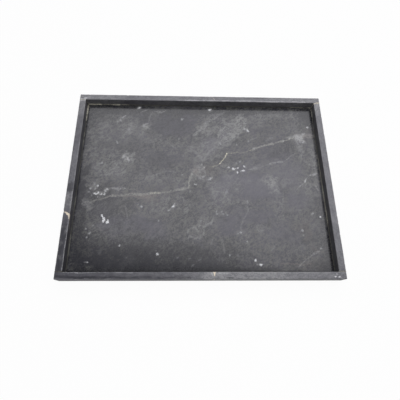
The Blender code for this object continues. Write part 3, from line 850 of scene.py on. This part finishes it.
# Painted shade: the colour that upright faces are darkened towards.
PAINTED_UPRIGHT_SHADE = (0.020, 0.020, 0.024)


def strip_place(side):
    """Where a strip stands and how it is turned: its own outer face is towards -Y."""
    low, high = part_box(side + "_strip")
    middle = (low + high) / 2
    x, y, turn = {
        "front": (middle.x, low.y, 0.0),
        "back": (middle.x, high.y, math.pi),
        "left": (low.x, middle.y, -math.pi / 2),
        "right": (high.x, middle.y, math.pi / 2),
    }[side]
    return Matrix.Translation((x, y, low.z)) @ Matrix.Rotation(turn, 4, "Z")


def add_strip(side, material, pattern, outer_nicks, inner_nicks):
    """One wall strip. The nicks are places along the tray's own X or Y, in millimetres."""
    low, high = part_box(side + "_strip")
    size = high - low
    is_long = side in ("front", "back")
    length, thickness = (size.x, size.y) if is_long else (size.y, size.x)
    direction = 1 if side in ("front", "right") else -1
    well_half = length / 2 - thickness if is_long else length
    outer = [(direction * place * MM, depth * MM, reach * MM) for place, depth, reach in outer_nicks]
    inner = [(direction * place * MM, depth * MM, reach * MM) for place, depth, reach in inner_nicks]

    def radii_at(x):
        beside_well = min(1.0, max(0.0, (well_half - abs(x)) / STRIP_SPACING))
        eased = worn_radius(x, STRIP_ARRIS, pattern + 1, inner)
        return (
            worn_radius(x, STRIP_ARRIS, pattern + 2),
            worn_radius(x, STRIP_ARRIS, pattern, outer),
            JOINT_ARRIS + (eased - JOINT_ARRIS) * beside_well,
            JOINT_ARRIS,
        )

    end_radius = STRIP_ARRIS if is_long else JOINT_ARRIS
    end_sides = (1, 0, 1, 1) if is_long else (1, 1, 1, 1)
    bar = (length, thickness, size.z)
    mesh = bar_mesh(side + " strip stone", bar, STRIP_SPACING, end_radius, end_sides, radii_at)
    mesh.transform(strip_place(side))
    add_piece(side + "_wall", mesh, material, "strip_marble", side + "_strip")


def lines_mask(tree, position, name, lines):
    """The strongest of many short straight lines at each point. Each is its two ends, half its width at
    each and its strength. An end that is given by x and y alone is on the rim."""
    group, given, result = new_group(name, {"Position": ORIGIN}, "Mask")
    mask = 0.0
    for start, end, start_width, end_width, strength in lines:
        line = use_group(
            group,
            short_vein,
            position=given["Position"],
            start=(*start, RIM_LEVEL)[:3],
            end=(*end, RIM_LEVEL)[:3],
            start_width=start_width,
            end_width=end_width,
            strength=strength,
        )["Mask"]
        mask = math_of(group, "MAXIMUM", mask, line)
    group.links.new(mask, result["Mask"])
    return use_group(tree, group, position=position)["Mask"]


def make_strip_marble(name, stretch, shade, deep_and_shaded_patches, pale_patches, dark_lines, veins, rubbed_and_highlight_lines):
    """Honed dark marble. stretch draws the pattern out along the strip, as the stone's bedding runs, and
    shade is how much painted shade darkens its upright faces."""
    material, tree, shader, position, facing = start_material(name)
    ground = use_group(tree, marble_ground, position=position, stretch=stretch)
    bent = warped(tree, position, broad=30.0, fine=12.0)
    # Dark bands: darker stone, and painted shade on the rims towards the front-left corner, where their sheen
    # falls off.
    deep = ovals_mask(tree, bent, name + " dark bands and painted shade", deep_and_shaded_patches)
    deep = times(tree, deep, ramp(tree, ground["Wisps"], 0.9, 0.1, 0.6, 1.0))
    texture = math_of(tree, "MULTIPLY_ADD", ground["Mottle"], 0.5, times(tree, ground["Speckle"], 0.5))
    pale = ovals_mask(tree, bent, name + " pale bands", pale_patches)
    pale = times(tree, pale, ramp(tree, texture, 0.2, 0.8, 0.2, 0.85))
    tone = math_of(tree, "MULTIPLY_ADD", ground["Wisps"], 0.55, times(tree, ground["Speckle"], 0.45))
    colour = mixed(tree, tone, STRIP_DEEP, STRIP_GREY)
    colour = mixed(tree, times(tree, ground["Mottle"], 0.18), colour, STRIP_PALE)
    colour = mixed(tree, deep, colour, DARK_BAND_AND_SHADE)
    colour = mixed(tree, pale, colour, STRIP_PALE)
    ragged = warped(tree, position, broad=4.0, fine=2.4)
    streaks = lines_mask(tree, ragged, name + " dark streaks", dark_lines)
    streaks = times(tree, streaks, ramp(tree, ground["Mottle"], 0.9, 0.2, 0.6, 1.0))
    colour = mixed(tree, streaks, colour, DARK_STREAK)
    # Rubbed lines: a few light worn spots, and painted highlights along the rims' inner and outer top edges.
    rubbed = lines_mask(tree, ragged, name + " rubbed lines and painted highlights", rubbed_and_highlight_lines)
    rubbed = times(tree, rubbed, ramp(tree, ground["Mottle"], 0.1, 0.7, 0.3, 1.0))
    colour = mixed(tree, rubbed, colour, RUBBED_AND_HIGHLIGHT_WHITE)
    colour = mixed(tree, lines_mask(tree, ragged, name + " veins", veins), colour, STRIP_CREAM)
    wear = use_group(tree, edge_wear, position=position, facing=facing)
    colour = mixed(tree, times(tree, wear["Rubbed"], 0.5), colour, RUBBED_GREY)
    surface = use_group(tree, honed_surface, position=position, shine_drift=0.05, base=0.33)
    level = math_of(tree, "ABSOLUTE", parts_of(tree, facing)[2])
    upright = ramp(tree, level, 0.8, 0.3)
    # Painted shade: upright faces are darkened by shade, whichever way the light falls.
    colour = mixed(tree, times(tree, upright, shade), colour, PAINTED_UPRIGHT_SHADE)
    roughness = math_of(tree, "MULTIPLY_ADD", upright, 0.42, surface["Roughness"])
    dress(tree, shader, colour, roughness, relief(tree, surface["Height"], 0.5, 0.05 * MM))
    shader.inputs["IOR"].default_value = MARBLE_IOR
    return material


long_marble = make_strip_marble(
    "honed grey marble, long strips",
    stretch=(0.5, 1.0, 1.0),
    shade=0.15,
    deep_and_shaded_patches=(
        (-155, -145, 60, 12, 0.75), (-76, -145, 50, 12, 0.7), (-40, -146, 40, 12, 0.5),
        (-110, 146, 30, 5, 0.3),
    ),
    pale_patches=(
        (24, -145, 26, 14, 1.6), (34, -145, 34, 14, 1.2), (-14, -145, 34, 14, 0.5),
        (-70, -144.6, 50, 5, 0.3), (80, -145, 40, 14, 1.55), (140, -145, 40, 14, 0.8),
        (180, -145, 24, 14, 0.7), (-192, 145, 12, 14, 1), (-160, 145, 30, 12, 0.7), (-45, 145, 50, 12, 0.4),
        (20, 146, 24, 12, 0.6), (90, 145, 50, 12, 0.3), (155, 145, 50, 14, 0.65),
    ),
    dark_lines=(
        ((-197, -146.4), (-176, -147.2), 2, 1.6, 0.8), ((-176, -147.2), (-110, -147.4), 1.7, 1.3, 0.95),
        ((-110, -147.4), (-70, -147.2), 1.3, 1.6, 0.8), ((-60, -148), (-16, -148), 1.1, 1.3, 0.8),
        ((-38, -146), (-28, -145), 1.2, 1.6, 0.5), ((34, -148), (42, -148), 1, 1.2, 0.7),
        ((60, -146), (68, -147), 1, 1, 0.4), ((86, -147), (100, -148), 1, 0.8, 0.4),
        ((-130, 148), (-40, 148.2), 0.9, 1.1, 0.35), ((-30, 144.2), (60, 144.4), 0.5, 0.6, 0.4),
        ((20, 148), (150, 148), 1, 1.1, 0.45), ((60, 144.3), (180, 144.4), 0.6, 0.6, 0.45),
    ),
    veins=(
        ((16.4, -139.8), (16.3, -144), 1.7, 1.2, 1), ((16.3, -144), (16.2, -150), 0.8, 0.7, 0.7),
        ((16.2, -150), (15, -150, 4), 0.8, 0.5, 0.6), ((-122.4, 146.2), (-120.9, 144.2), 0.5, 0.3, 0.6),
        ((16.7, 149), (24.1, 143), 0.5, 0.5, 0.5), ((190.6, 140.3), (199.6, 140.4), 0.5, 0.7, 0.8),
        ((-165, -150, 8), (-110, -150, 7), 1.6, 1.2, 0.16),
    ),
    rubbed_and_highlight_lines=(
        ((-189, -140.7), (-172, -140.7), 0.5, 0.5, 0.35), ((-172, -140.6), (-168, -140.6), 0.8, 0.8, 0.8),
        ((-168, -140.7), (-95, -140.8), 0.5, 0.7, 0.25),
        ((-190, -149.4, 21.8), (-120, -149.4, 21.8), 0.5, 0.6, 0.14),
        ((12.6, -142), (12.8, -144), 1.4, 1.2, 0.5), ((22, -143), (34, -142.6), 1.4, 1.2, 0.35),
        ((183.6, -147.2), (184.9, -146.8), 1.1, 0.8, 2.5),
        ((186.2, -143.4), (186.9, -143.8), 0.8, 0.5, 1.2), ((188.9, -147.3), (190.2, -147), 1, 0.7, 2.2),
        ((-40, 141.6), (-5, 141.4), 0.8, 1.2, 0.45), ((-5, 141.4), (60, 141.4), 1.2, 1, 0.3),
        ((60, 141.4), (175, 141.4), 1.1, 1.3, 0.38), ((-198.5, 140.4), (-189.7, 142.6), 0.9, 1.5, 0.9),
    ),
)
side_marble = make_strip_marble(
    "honed grey marble, side strips",
    stretch=(1.0, 0.5, 1.0),
    shade=0.5,
    deep_and_shaded_patches=(
        (-195, -18, 6, 10, 1.2), (-195, -106, 12, 36, 1.8), (-195, -136, 12, 24, 1.8),
        (-197, 85, 4, 36, 0.25), (199, 20, 3, 90, 0.2),
    ),
    pale_patches=(
        (-195, -38, 8, 12, 0.8), (-195, 130, 8, 20, 0.6), (-195, 20, 8, 30, 0.3), (-194, -80, 5, 5, 0.5),
        (-196, -99, 3, 4, 0.4), (-195, -120, 3, 4, 0.35), (195, 136, 12, 18, 1), (195, 70, 12, 40, 0.25),
        (195, 0, 12, 40, 0.3), (195, -60, 12, 40, 0.35), (195, -115, 12, 24, 0.4),
    ),
    dark_lines=(
        ((-193, -74), (-197, -86), 1.6, 1.2, 0.6), ((-194, -90), (-195, -97), 1.8, 1.4, 0.6),
        ((-195, -104), (-196, -116), 1.8, 1.6, 0.6), ((-196, -124), (-195, -139), 1.6, 1.8, 0.6),
        ((-194, -8), (-196, -14), 1.4, 1.4, 0.5), ((-195, -18), (-194, -26), 2, 1.6, 0.6),
    ),
    veins=(
        ((-200, -54.4), (-196, -56), 0.6, 1, 1), ((-196, -56), (-190.4, -61), 1, 2.1, 1),
        ((-190.6, -62), (-189.9, -67, 20), 1.6, 0.8, 1),
        ((-189.9, -67, 20), (-190, -75, 18), 0.8, 0.5, 0.7),
        ((-190, -75, 18), (-190, -102, 10.5), 0.5, 0.4, 0.4),
        ((190.8, 138.5), (199.6, 138.5), 0.7, 0.6, 0.8),
    ),
    rubbed_and_highlight_lines=(
        ((-190.6, 60), (-190.5, 10), 0.4, 0.5, 0.2), ((-190.5, 10), (-190.5, -54), 0.5, 0.5, 0.3),
        ((-190.6, -68), (-190.6, -139), 0.5, 0.6, 0.35), ((-199.4, 40), (-199.4, -40), 0.4, 0.5, 0.2),
        ((-199.4, -70), (-199.4, -130), 0.4, 0.5, 0.2), ((199, -138.9), (199.6, -138.9), 0.5, 0.5, 0.7),
        ((-199.4, 138.2), (-191, 138.2), 0.9, 0.8, 0.6),
    ),
)
add_strip("front", long_marble, 11, [(-130, 0.5, 2.0), (40, 0.4, 1.5)], [(-168, 0.6, 1.5), (120, 0.3, 1.2)])
add_strip("back", long_marble, 17, [(-122, 0.8, 2.0), (60, 0.4, 2.0)], [(24, 0.5, 2.0), (-80, 0.3, 1.5)])
add_strip("left", side_marble, 23, [(-54.4, 1.2, 2.2), (30, 0.4, 2.0)], [(-60, 0.5, 2.5), (-120, 0.5, 2.0)])
add_strip("right", side_marble, 29, [(52, 0.4, 2.0), (-70, 0.5, 1.5)], [(10, 0.4, 2.0)])


# Corner joints: cream resin adhesive in the butt joint between the end of each side strip and the inner
# face of a long strip. It fills the 1.2 mm joint, squeezed out and wiped off flush, and dips a little
# where it shrank as it cured.

RESIN_CREAM = (0.82, 0.79, 0.66)
RESIN_AGED = (0.54, 0.51, 0.40)
RESIN_DULL = (0.048, 0.047, 0.042)
RESIN_LAP = 0.02 * MM


def make_resin():
    """Cured adhesive: cream where it is thick and clean, and grey where stone dust was rubbed into it."""
    material, tree, shader, position, _ = start_material("cured cream resin")
    thick = add_node(tree, "ShaderNodeAttribute", attribute_name="clean_resin").outputs["Fac"]
    cloudy = noise_of(tree, position, 0.5, 4.0, 0.6)
    clean = times(tree, thick, ramp(tree, cloudy, 0.36, 0.56, 0.55, 1.0))
    tone = mixed(tree, ramp(tree, cloudy, 0.35, 0.65), RESIN_AGED, RESIN_CREAM)
    colour = mixed(tree, clean, RESIN_DULL, tone)
    rough = noise_of(tree, position, 0.9, 3.0, 0.6)
    roughness = ramp(tree, rough, 0.3, 0.7, 0.3, 0.55)
    dress(tree, shader, colour, roughness, relief(tree, rough, 0.6, 0.1 * MM))
    return material


resin = make_resin()


def resin_mesh(name, rings, cleanness):
    """A run of resin from its cross-sections, each with how clean the resin is there, from 0 to 1."""
    shape = bmesh.new()
    clean = shape.verts.layers.float.new("clean_resin")
    loops = []
    for ring, amount in zip(rings, cleanness):
        loop = [shape.verts.new(point) for point in ring]
        for vert in loop:
            vert[clean] = amount
        loops.append(loop)
    skin(shape, loops)
    shape.faces.new(loops[0])
    return finished_mesh(shape, loops[-1], name)


JOINT_STEPS = 16
FILM_FOOT = 0.2 * MM
FILM_DIP = 0.06 * MM
FILM_DRIFT = 0.05 * MM
FILM_EDGE = 0.05 * MM
FILM_END = 0.1 * MM
STRIP_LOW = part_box("front_strip")[0].z
RIM_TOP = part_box("front_strip")[1].z


def add_corner_joint(end, side, cleanness):
    """The film in one butt joint. It ends just below the rim, and its edges lie lower than its middle."""
    node = f"corner_joint_{end}_{side}"
    node_low, node_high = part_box(node)
    strip_low, strip_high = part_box(side + "_strip")
    wall_low, wall_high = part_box(end + "_strip")
    if end == "front":
        y_low, y_high = wall_high.y, strip_low.y
    else:
        y_low, y_high = strip_high.y, wall_low.y
    x_low, x_high = node_low.x - FILM_END, node_high.x + FILM_END
    rings, clean = [], []
    for step in range(JOINT_STEPS + 1):
        x = x_low + (x_high - x_low) * step / JOINT_STEPS
        uneven = drift(x, 3.3 + y_low * 9, 1.6 * MM)
        film_top = min(RIM_TOP, RIM_TOP - FILM_DIP + FILM_DRIFT * uneven)
        rings.append([
            (x, y_low - RESIN_LAP, STRIP_LOW + FILM_FOOT),
            (x, y_high + RESIN_LAP, STRIP_LOW + FILM_FOOT),
            (x, y_high + RESIN_LAP, film_top - FILM_EDGE),
            (x, (y_low + y_high) / 2, film_top),
            (x, y_low - RESIN_LAP, film_top - FILM_EDGE),
        ])
        clean.append(cleanness * (0.75 + 0.5 * drift(x, 8.1, 2 * MM)))
    mesh = resin_mesh(node + " resin", rings, clean)
    add_piece(f"rim_joint_{end}_{side}", mesh, resin, "joint_resin", node)


add_corner_joint("back", "right", 1.0)
add_corner_joint("back", "left", 0.6)
add_corner_joint("front", "right", 0.28)
add_corner_joint("front", "left", 0.05)


# Base seams: the same resin between the slab's edge and the foot of each wall. Most of it was wiped
# level and is grey with dust, and cream beads that were squeezed out stand along parts of the walls.

BEAD_STEPS = 6
SEAM_SPACING = 1.0 * MM
WIPED_CLEAN = 0.02
# In millimetres: the wiped seam's width and rise, and the length over which a bead comes up to its full size.
WIPED_WIDTH = 1.25
WIPED_RISE = 0.08
BEAD_END = 2.5

# A bead: where it starts and ends along the wall, its width and height, and how clean it is.
BEADS = {
    "back": (
        (-190, -165, 1.8, 0.6, 0.52), (-165, -152.5, 1.4, 0.3, 0.24), (-152.5, -135, 1.7, 0.5, 0.55),
        (-135, -120, 1.4, 0.3, 0.27), (-120, -60, 1.3, 0.2, 0.06), (40, 110, 1.3, 0.2, 0.06),
        (152, 176, 1.4, 0.3, 0.19), (184, 190, 2.2, 0.5, 0.27),
    ),
    "left": (
        (118, 139, 2, 0.9, 0.5), (106, 118, 1.7, 0.5, 0.34), (76, 86, 1.4, 0.3, 0.12),
        (60, 72, 1.4, 0.3, 0.1), (-44, -26, 1.5, 0.3, 0.08), (-118, -84, 1.5, 0.3, 0.08),
    ),
    "right": ((120, 139, 1.6, 0.4, 0.18), (-14, 44, 1.3, 0.3, 0.1), (-68, -2, 1.35, 0.3, 0.22)),
    "front": ((-60, -20, 1.4, 0.2, 0.05), (90, 120, 1.4, 0.2, 0.05)),
}


def bead_at(place, beads):
    """Width, rise and cleanness of the resin at a place along a wall, in millimetres."""
    width, rise, clean = WIPED_WIDTH, WIPED_RISE, WIPED_CLEAN
    for start, end, most_wide, most_rise, cleanness in beads:
        share = math.sqrt(min(1.0, max(0.0, min(place - start, end - place) / BEAD_END)))
        if share > 0:
            swell = 1 + 0.3 * drift(place, 5.5, 3.5) + 0.25 * drift(place, 6.5, 1.3)
            width = max(width, WIPED_WIDTH + (most_wide - WIPED_WIDTH) * share * swell)
            rise = max(rise, most_rise * share * swell)
            clean = max(clean, cleanness * share * (1 + 0.3 * drift(place, 2.5, 4.0)))
    return width * MM, rise * MM, min(1.0, clean)


def add_base_seam(side):
    """The resin along one wall: straight down in the gap, and rounded from the wall to the floor on top."""
    node = "base_seam_" + side
    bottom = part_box(node)[0].z
    strip_low, strip_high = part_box(side + "_strip")
    is_long = side in ("front", "back")
    if is_long:
        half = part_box("right_strip")[0].x
        wall = strip_high.y if side == "front" else strip_low.y
    else:
        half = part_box("base_slab")[1].y
        wall = strip_high.x if side == "left" else strip_low.x
    inwards = 1 if side in ("front", "left") else -1
    floor_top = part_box("base_slab")[1].z
    gap = abs(abs(slab_low.y if is_long else slab_low.x) - abs(wall))
    rings, clean = [], []
    count = round(2 * half / SEAM_SPACING)
    for step in range(count + 1):
        place = -half + 2 * half * step / count
        width, rise, cleanness = bead_at(place / MM, BEADS[side])
        profile = [(-RESIN_LAP, bottom), (gap + RESIN_LAP, bottom), (gap + RESIN_LAP, floor_top - SLAB_ARRIS)]
        for arc in range(BEAD_STEPS + 1):
            angle = math.radians(90 * arc / BEAD_STEPS)
            away = width * math.cos(angle) if arc < BEAD_STEPS else -RESIN_LAP
            profile.append((away, floor_top - RESIN_LAP + rise * math.sin(angle)))
        if is_long:
            rings.append([(place, wall + inwards * away, z) for away, z in profile])
        else:
            rings.append([(wall + inwards * away, place, z) for away, z in profile])
        clean.append(cleanness)
    mesh = resin_mesh(node + " resin", rings, clean)
    add_piece("foot_bead_" + side, mesh, resin, "joint_resin", node)


for wall_side in ("front", "back", "left", "right"):
    add_base_seam(wall_side)


# Felt pads: four discs of pressed black felt, 20 mm across and 2 mm thick, stuck under the slab's
# corners by their adhesive backing. They are die-cut, so the rim is straight with a light fuzz.

PAD_SPOKES = 72
PAD_RINGS = 12
PAD_FLAT = 0.94
# The rim from the table up: how far out it stands, as a share of the radius, and how high, of the pad.
PAD_RIM = ((0.975, 0.10), (0.99, 0.28), (0.985, 0.6), (0.99, 0.85), (0.975, 1.0))
FUZZ_LIFT = 0.12 * MM
FUZZ_SWELL = 0.012
FUZZ_WAVE = 900
FELT_BLACK = (0.010, 0.010, 0.011)
FELT_GREY = (0.045, 0.045, 0.048)


def make_felt():
    """Pressed black wool felt: matted fibres that lie in all directions."""
    material, tree, shader, position, _ = start_material("pressed black felt")
    bent = warped(tree, position, broad=3.0, fine=1.5)
    fibres = noise_of(tree, vector_of(tree, "MULTIPLY", bent, (1.0, 4.0, 2.0)), 1.6, 4.0, 0.7, 1.5)
    crossed = noise_of(tree, vector_of(tree, "MULTIPLY", bent, (4.0, 1.0, 2.0)), 1.4, 4.0, 0.7, 1.5)
    matted = math_of(tree, "MAXIMUM", fibres, crossed)
    colour = mixed(tree, ramp(tree, matted, 0.4, 0.75), FELT_BLACK, FELT_GREY)
    roughness = ramp(tree, matted, 0.3, 0.8, 1.0, 0.85)
    dress(tree, shader, colour, roughness, relief(tree, matted, 1.0, 0.25 * MM))
    shader.inputs["Sheen Weight"].default_value = 0.3
    return material


felt = make_felt()


def add_pad(end, side):
    """A felt disc from the table up to the slab's underside, its faces and its rim gently uneven."""
    node = f"felt_pad_{end}_{side}"
    low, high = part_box(node)
    middle = (low + high) / 2
    radius = (high.x - low.x) / 2
    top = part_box("base_slab")[0].z
    shape = bmesh.new()
    flat_rings = [(share / PAD_RINGS * PAD_FLAT, 0.0) for share in range(1, PAD_RINGS + 1)]
    loops = []
    for reach, height in (*flat_rings, *PAD_RIM):
        loop = []
        for spoke in range(PAD_SPOKES):
            angle = 2 * math.pi * spoke / PAD_SPOKES
            x, y = math.cos(angle) * reach * radius, math.sin(angle) * reach * radius
            spot = (x * FUZZ_WAVE + middle.x * 77, y * FUZZ_WAVE + middle.y * 77, height * 3)
            uneven = noise.noise(Vector(spot))
            lift = FUZZ_LIFT * max(0.0, uneven) if height == 0.0 else 0.0
            swell = 1 + FUZZ_SWELL * uneven if 0.0 < height < 1.0 else 1
            loop.append(shape.verts.new((middle.x + x * swell, middle.y + y * swell, top * height + lift)))
        loops.append(loop)
    centre = shape.verts.new((middle.x, middle.y, 0.0))
    for i in range(PAD_SPOKES):
        shape.faces.new((centre, loops[0][i], loops[0][(i + 1) % PAD_SPOKES]))
    skin(shape, loops)
    add_piece(f"pad_{end}_{side}", finished_mesh(shape, loops[-1], node + " felt"), felt, "pad_felt", node)


for pad_end in ("front", "back"):
    for pad_side in ("left", "right"):
        add_pad(pad_end, pad_side)


# Studio: a white table and white walls that the camera and mirroring surfaces see as paper white, under a
# dark ceiling. A large softbox hangs above and behind to the right. A small lamp overhead only fills, and
# nothing mirrors it. The camera stands where the photograph was taken from.

FLOOR_HALF = 4.0
UNDER_PADS = 0.05 * MM
LEVEL_LIGHT = 0.15
CAMERA_SHARE = 0.95
WALL_TOP = math.radians(38)
WALL_EDGE = 0.05
WHITE = (1.0, 1.0, 1.0, 1.0)
PAPER = (0.9, 0.9, 0.9, 1.0)


def make_table_white():
    """White to the camera and in reflections, apart from the share that keeps the tray's shadow."""
    material = bpy.data.materials.new("white table")
    material.use_nodes = True
    tree = material.node_tree
    tree.nodes.clear()
    ray = tree.nodes.new("ShaderNodeLightPath").outputs
    seen = math_of(tree, "MAXIMUM", ray["Is Camera Ray"], ray["Is Glossy Ray"])
    seen = math_of(tree, "MAXIMUM", seen, ray["Is Transmission Ray"])
    paper = add_node(tree, "ShaderNodeBsdfDiffuse", {"Color": PAPER})
    white = add_node(tree, "ShaderNodeEmission", {"Color": WHITE, "Strength": 1.0})
    share = times(tree, seen, CAMERA_SHARE)
    blend = add_node(tree, "ShaderNodeMixShader", {0: share, 1: paper.outputs[0], 2: white.outputs[0]})
    output = tree.nodes.new("ShaderNodeOutputMaterial")
    tree.links.new(blend.outputs[0], output.inputs["Surface"])
    return material


table_shape = bmesh.new()
bmesh.ops.create_grid(table_shape, x_segments=8, y_segments=8, size=FLOOR_HALF)
table_mesh = bpy.data.meshes.new("white table")
table_shape.to_mesh(table_mesh)
table_shape.free()
table_mesh.materials.append(make_table_white())
table = bpy.data.objects.new("white_table", table_mesh)
bpy.context.scene.collection.objects.link(table)
table.location.z = -UNDER_PADS

world = bpy.data.worlds.new("studio")
world.use_nodes = True
sky = world.node_tree
sky.nodes.clear()
sky_ray = sky.nodes.new("ShaderNodeLightPath").outputs
even_light = add_node(sky, "ShaderNodeBackground", {"Color": WHITE, "Strength": LEVEL_LIGHT})
white_wall = add_node(sky, "ShaderNodeBackground", {"Color": WHITE, "Strength": 1.0})
sky_place = sky.nodes.new("ShaderNodeTexCoord").outputs["Generated"]
sky_height = parts_of(sky, sky_place)[2]
below_top = ramp(sky, sky_height, math.sin(WALL_TOP) + WALL_EDGE, math.sin(WALL_TOP) - WALL_EDGE)
mirrored = math_of(sky, "MAXIMUM", sky_ray["Is Glossy Ray"], sky_ray["Is Transmission Ray"])
mirrored = times(sky, mirrored, below_top)
sky_seen = math_of(sky, "MAXIMUM", sky_ray["Is Camera Ray"], mirrored)
sky_inputs = {0: sky_seen, 1: even_light.outputs[0], 2: white_wall.outputs[0]}
sky_blend = add_node(sky, "ShaderNodeMixShader", sky_inputs)
sky_output = sky.nodes.new("ShaderNodeOutputWorld")
sky.links.new(sky_blend.outputs[0], sky_output.inputs["Surface"])
bpy.context.scene.world = world


def stand(name, data, place, *turns):
    """Stands a lamp or the camera at its place, in metres. Its turns are in degrees, each with its axis."""
    made = bpy.data.objects.new(name, data)
    bpy.context.scene.collection.objects.link(made)
    pose = Matrix.Translation(place)
    for degrees, axis in turns:
        pose = pose @ Matrix.Rotation(math.radians(degrees), 4, axis)
    made.matrix_world = pose
    return made


def add_lamp(name, width, depth, watts, place, *turns):
    """A flat lamp that the camera doesn't see."""
    light = bpy.data.lights.new(name, "AREA")
    light.shape = "RECTANGLE"
    light.size = width
    light.size_y = depth
    light.energy = watts
    lamp = stand(name, light, place, *turns)
    lamp.visible_camera = False
    return lamp


softbox = add_lamp("softbox", 2.76, 1.9, 29.4, (0.523, 0.910, 1.750), (-8, "Z"), (-44, "X"))
softbox.data.color = (0.99, 0.985, 1.03)
overhead = add_lamp("overhead", 0.9, 0.5, 8.0, (0.0, -0.32, 1.55), (12, "X"))
overhead.visible_glossy = False

camera_lens = bpy.data.cameras.new("product camera")
camera_lens.sensor_width = 36.0
camera_lens.lens = 28.74
camera_lens.clip_start = 0.01
camera_turns = ((-5.588, "Z"), (20.123, "X"), (5.608, "Z"))
camera = stand("product_camera", camera_lens, (-0.0187, -0.19727, 0.4661), *camera_turns)
bpy.context.scene.camera = camera
bpy.context.scene.view_settings.view_transform = "Standard"
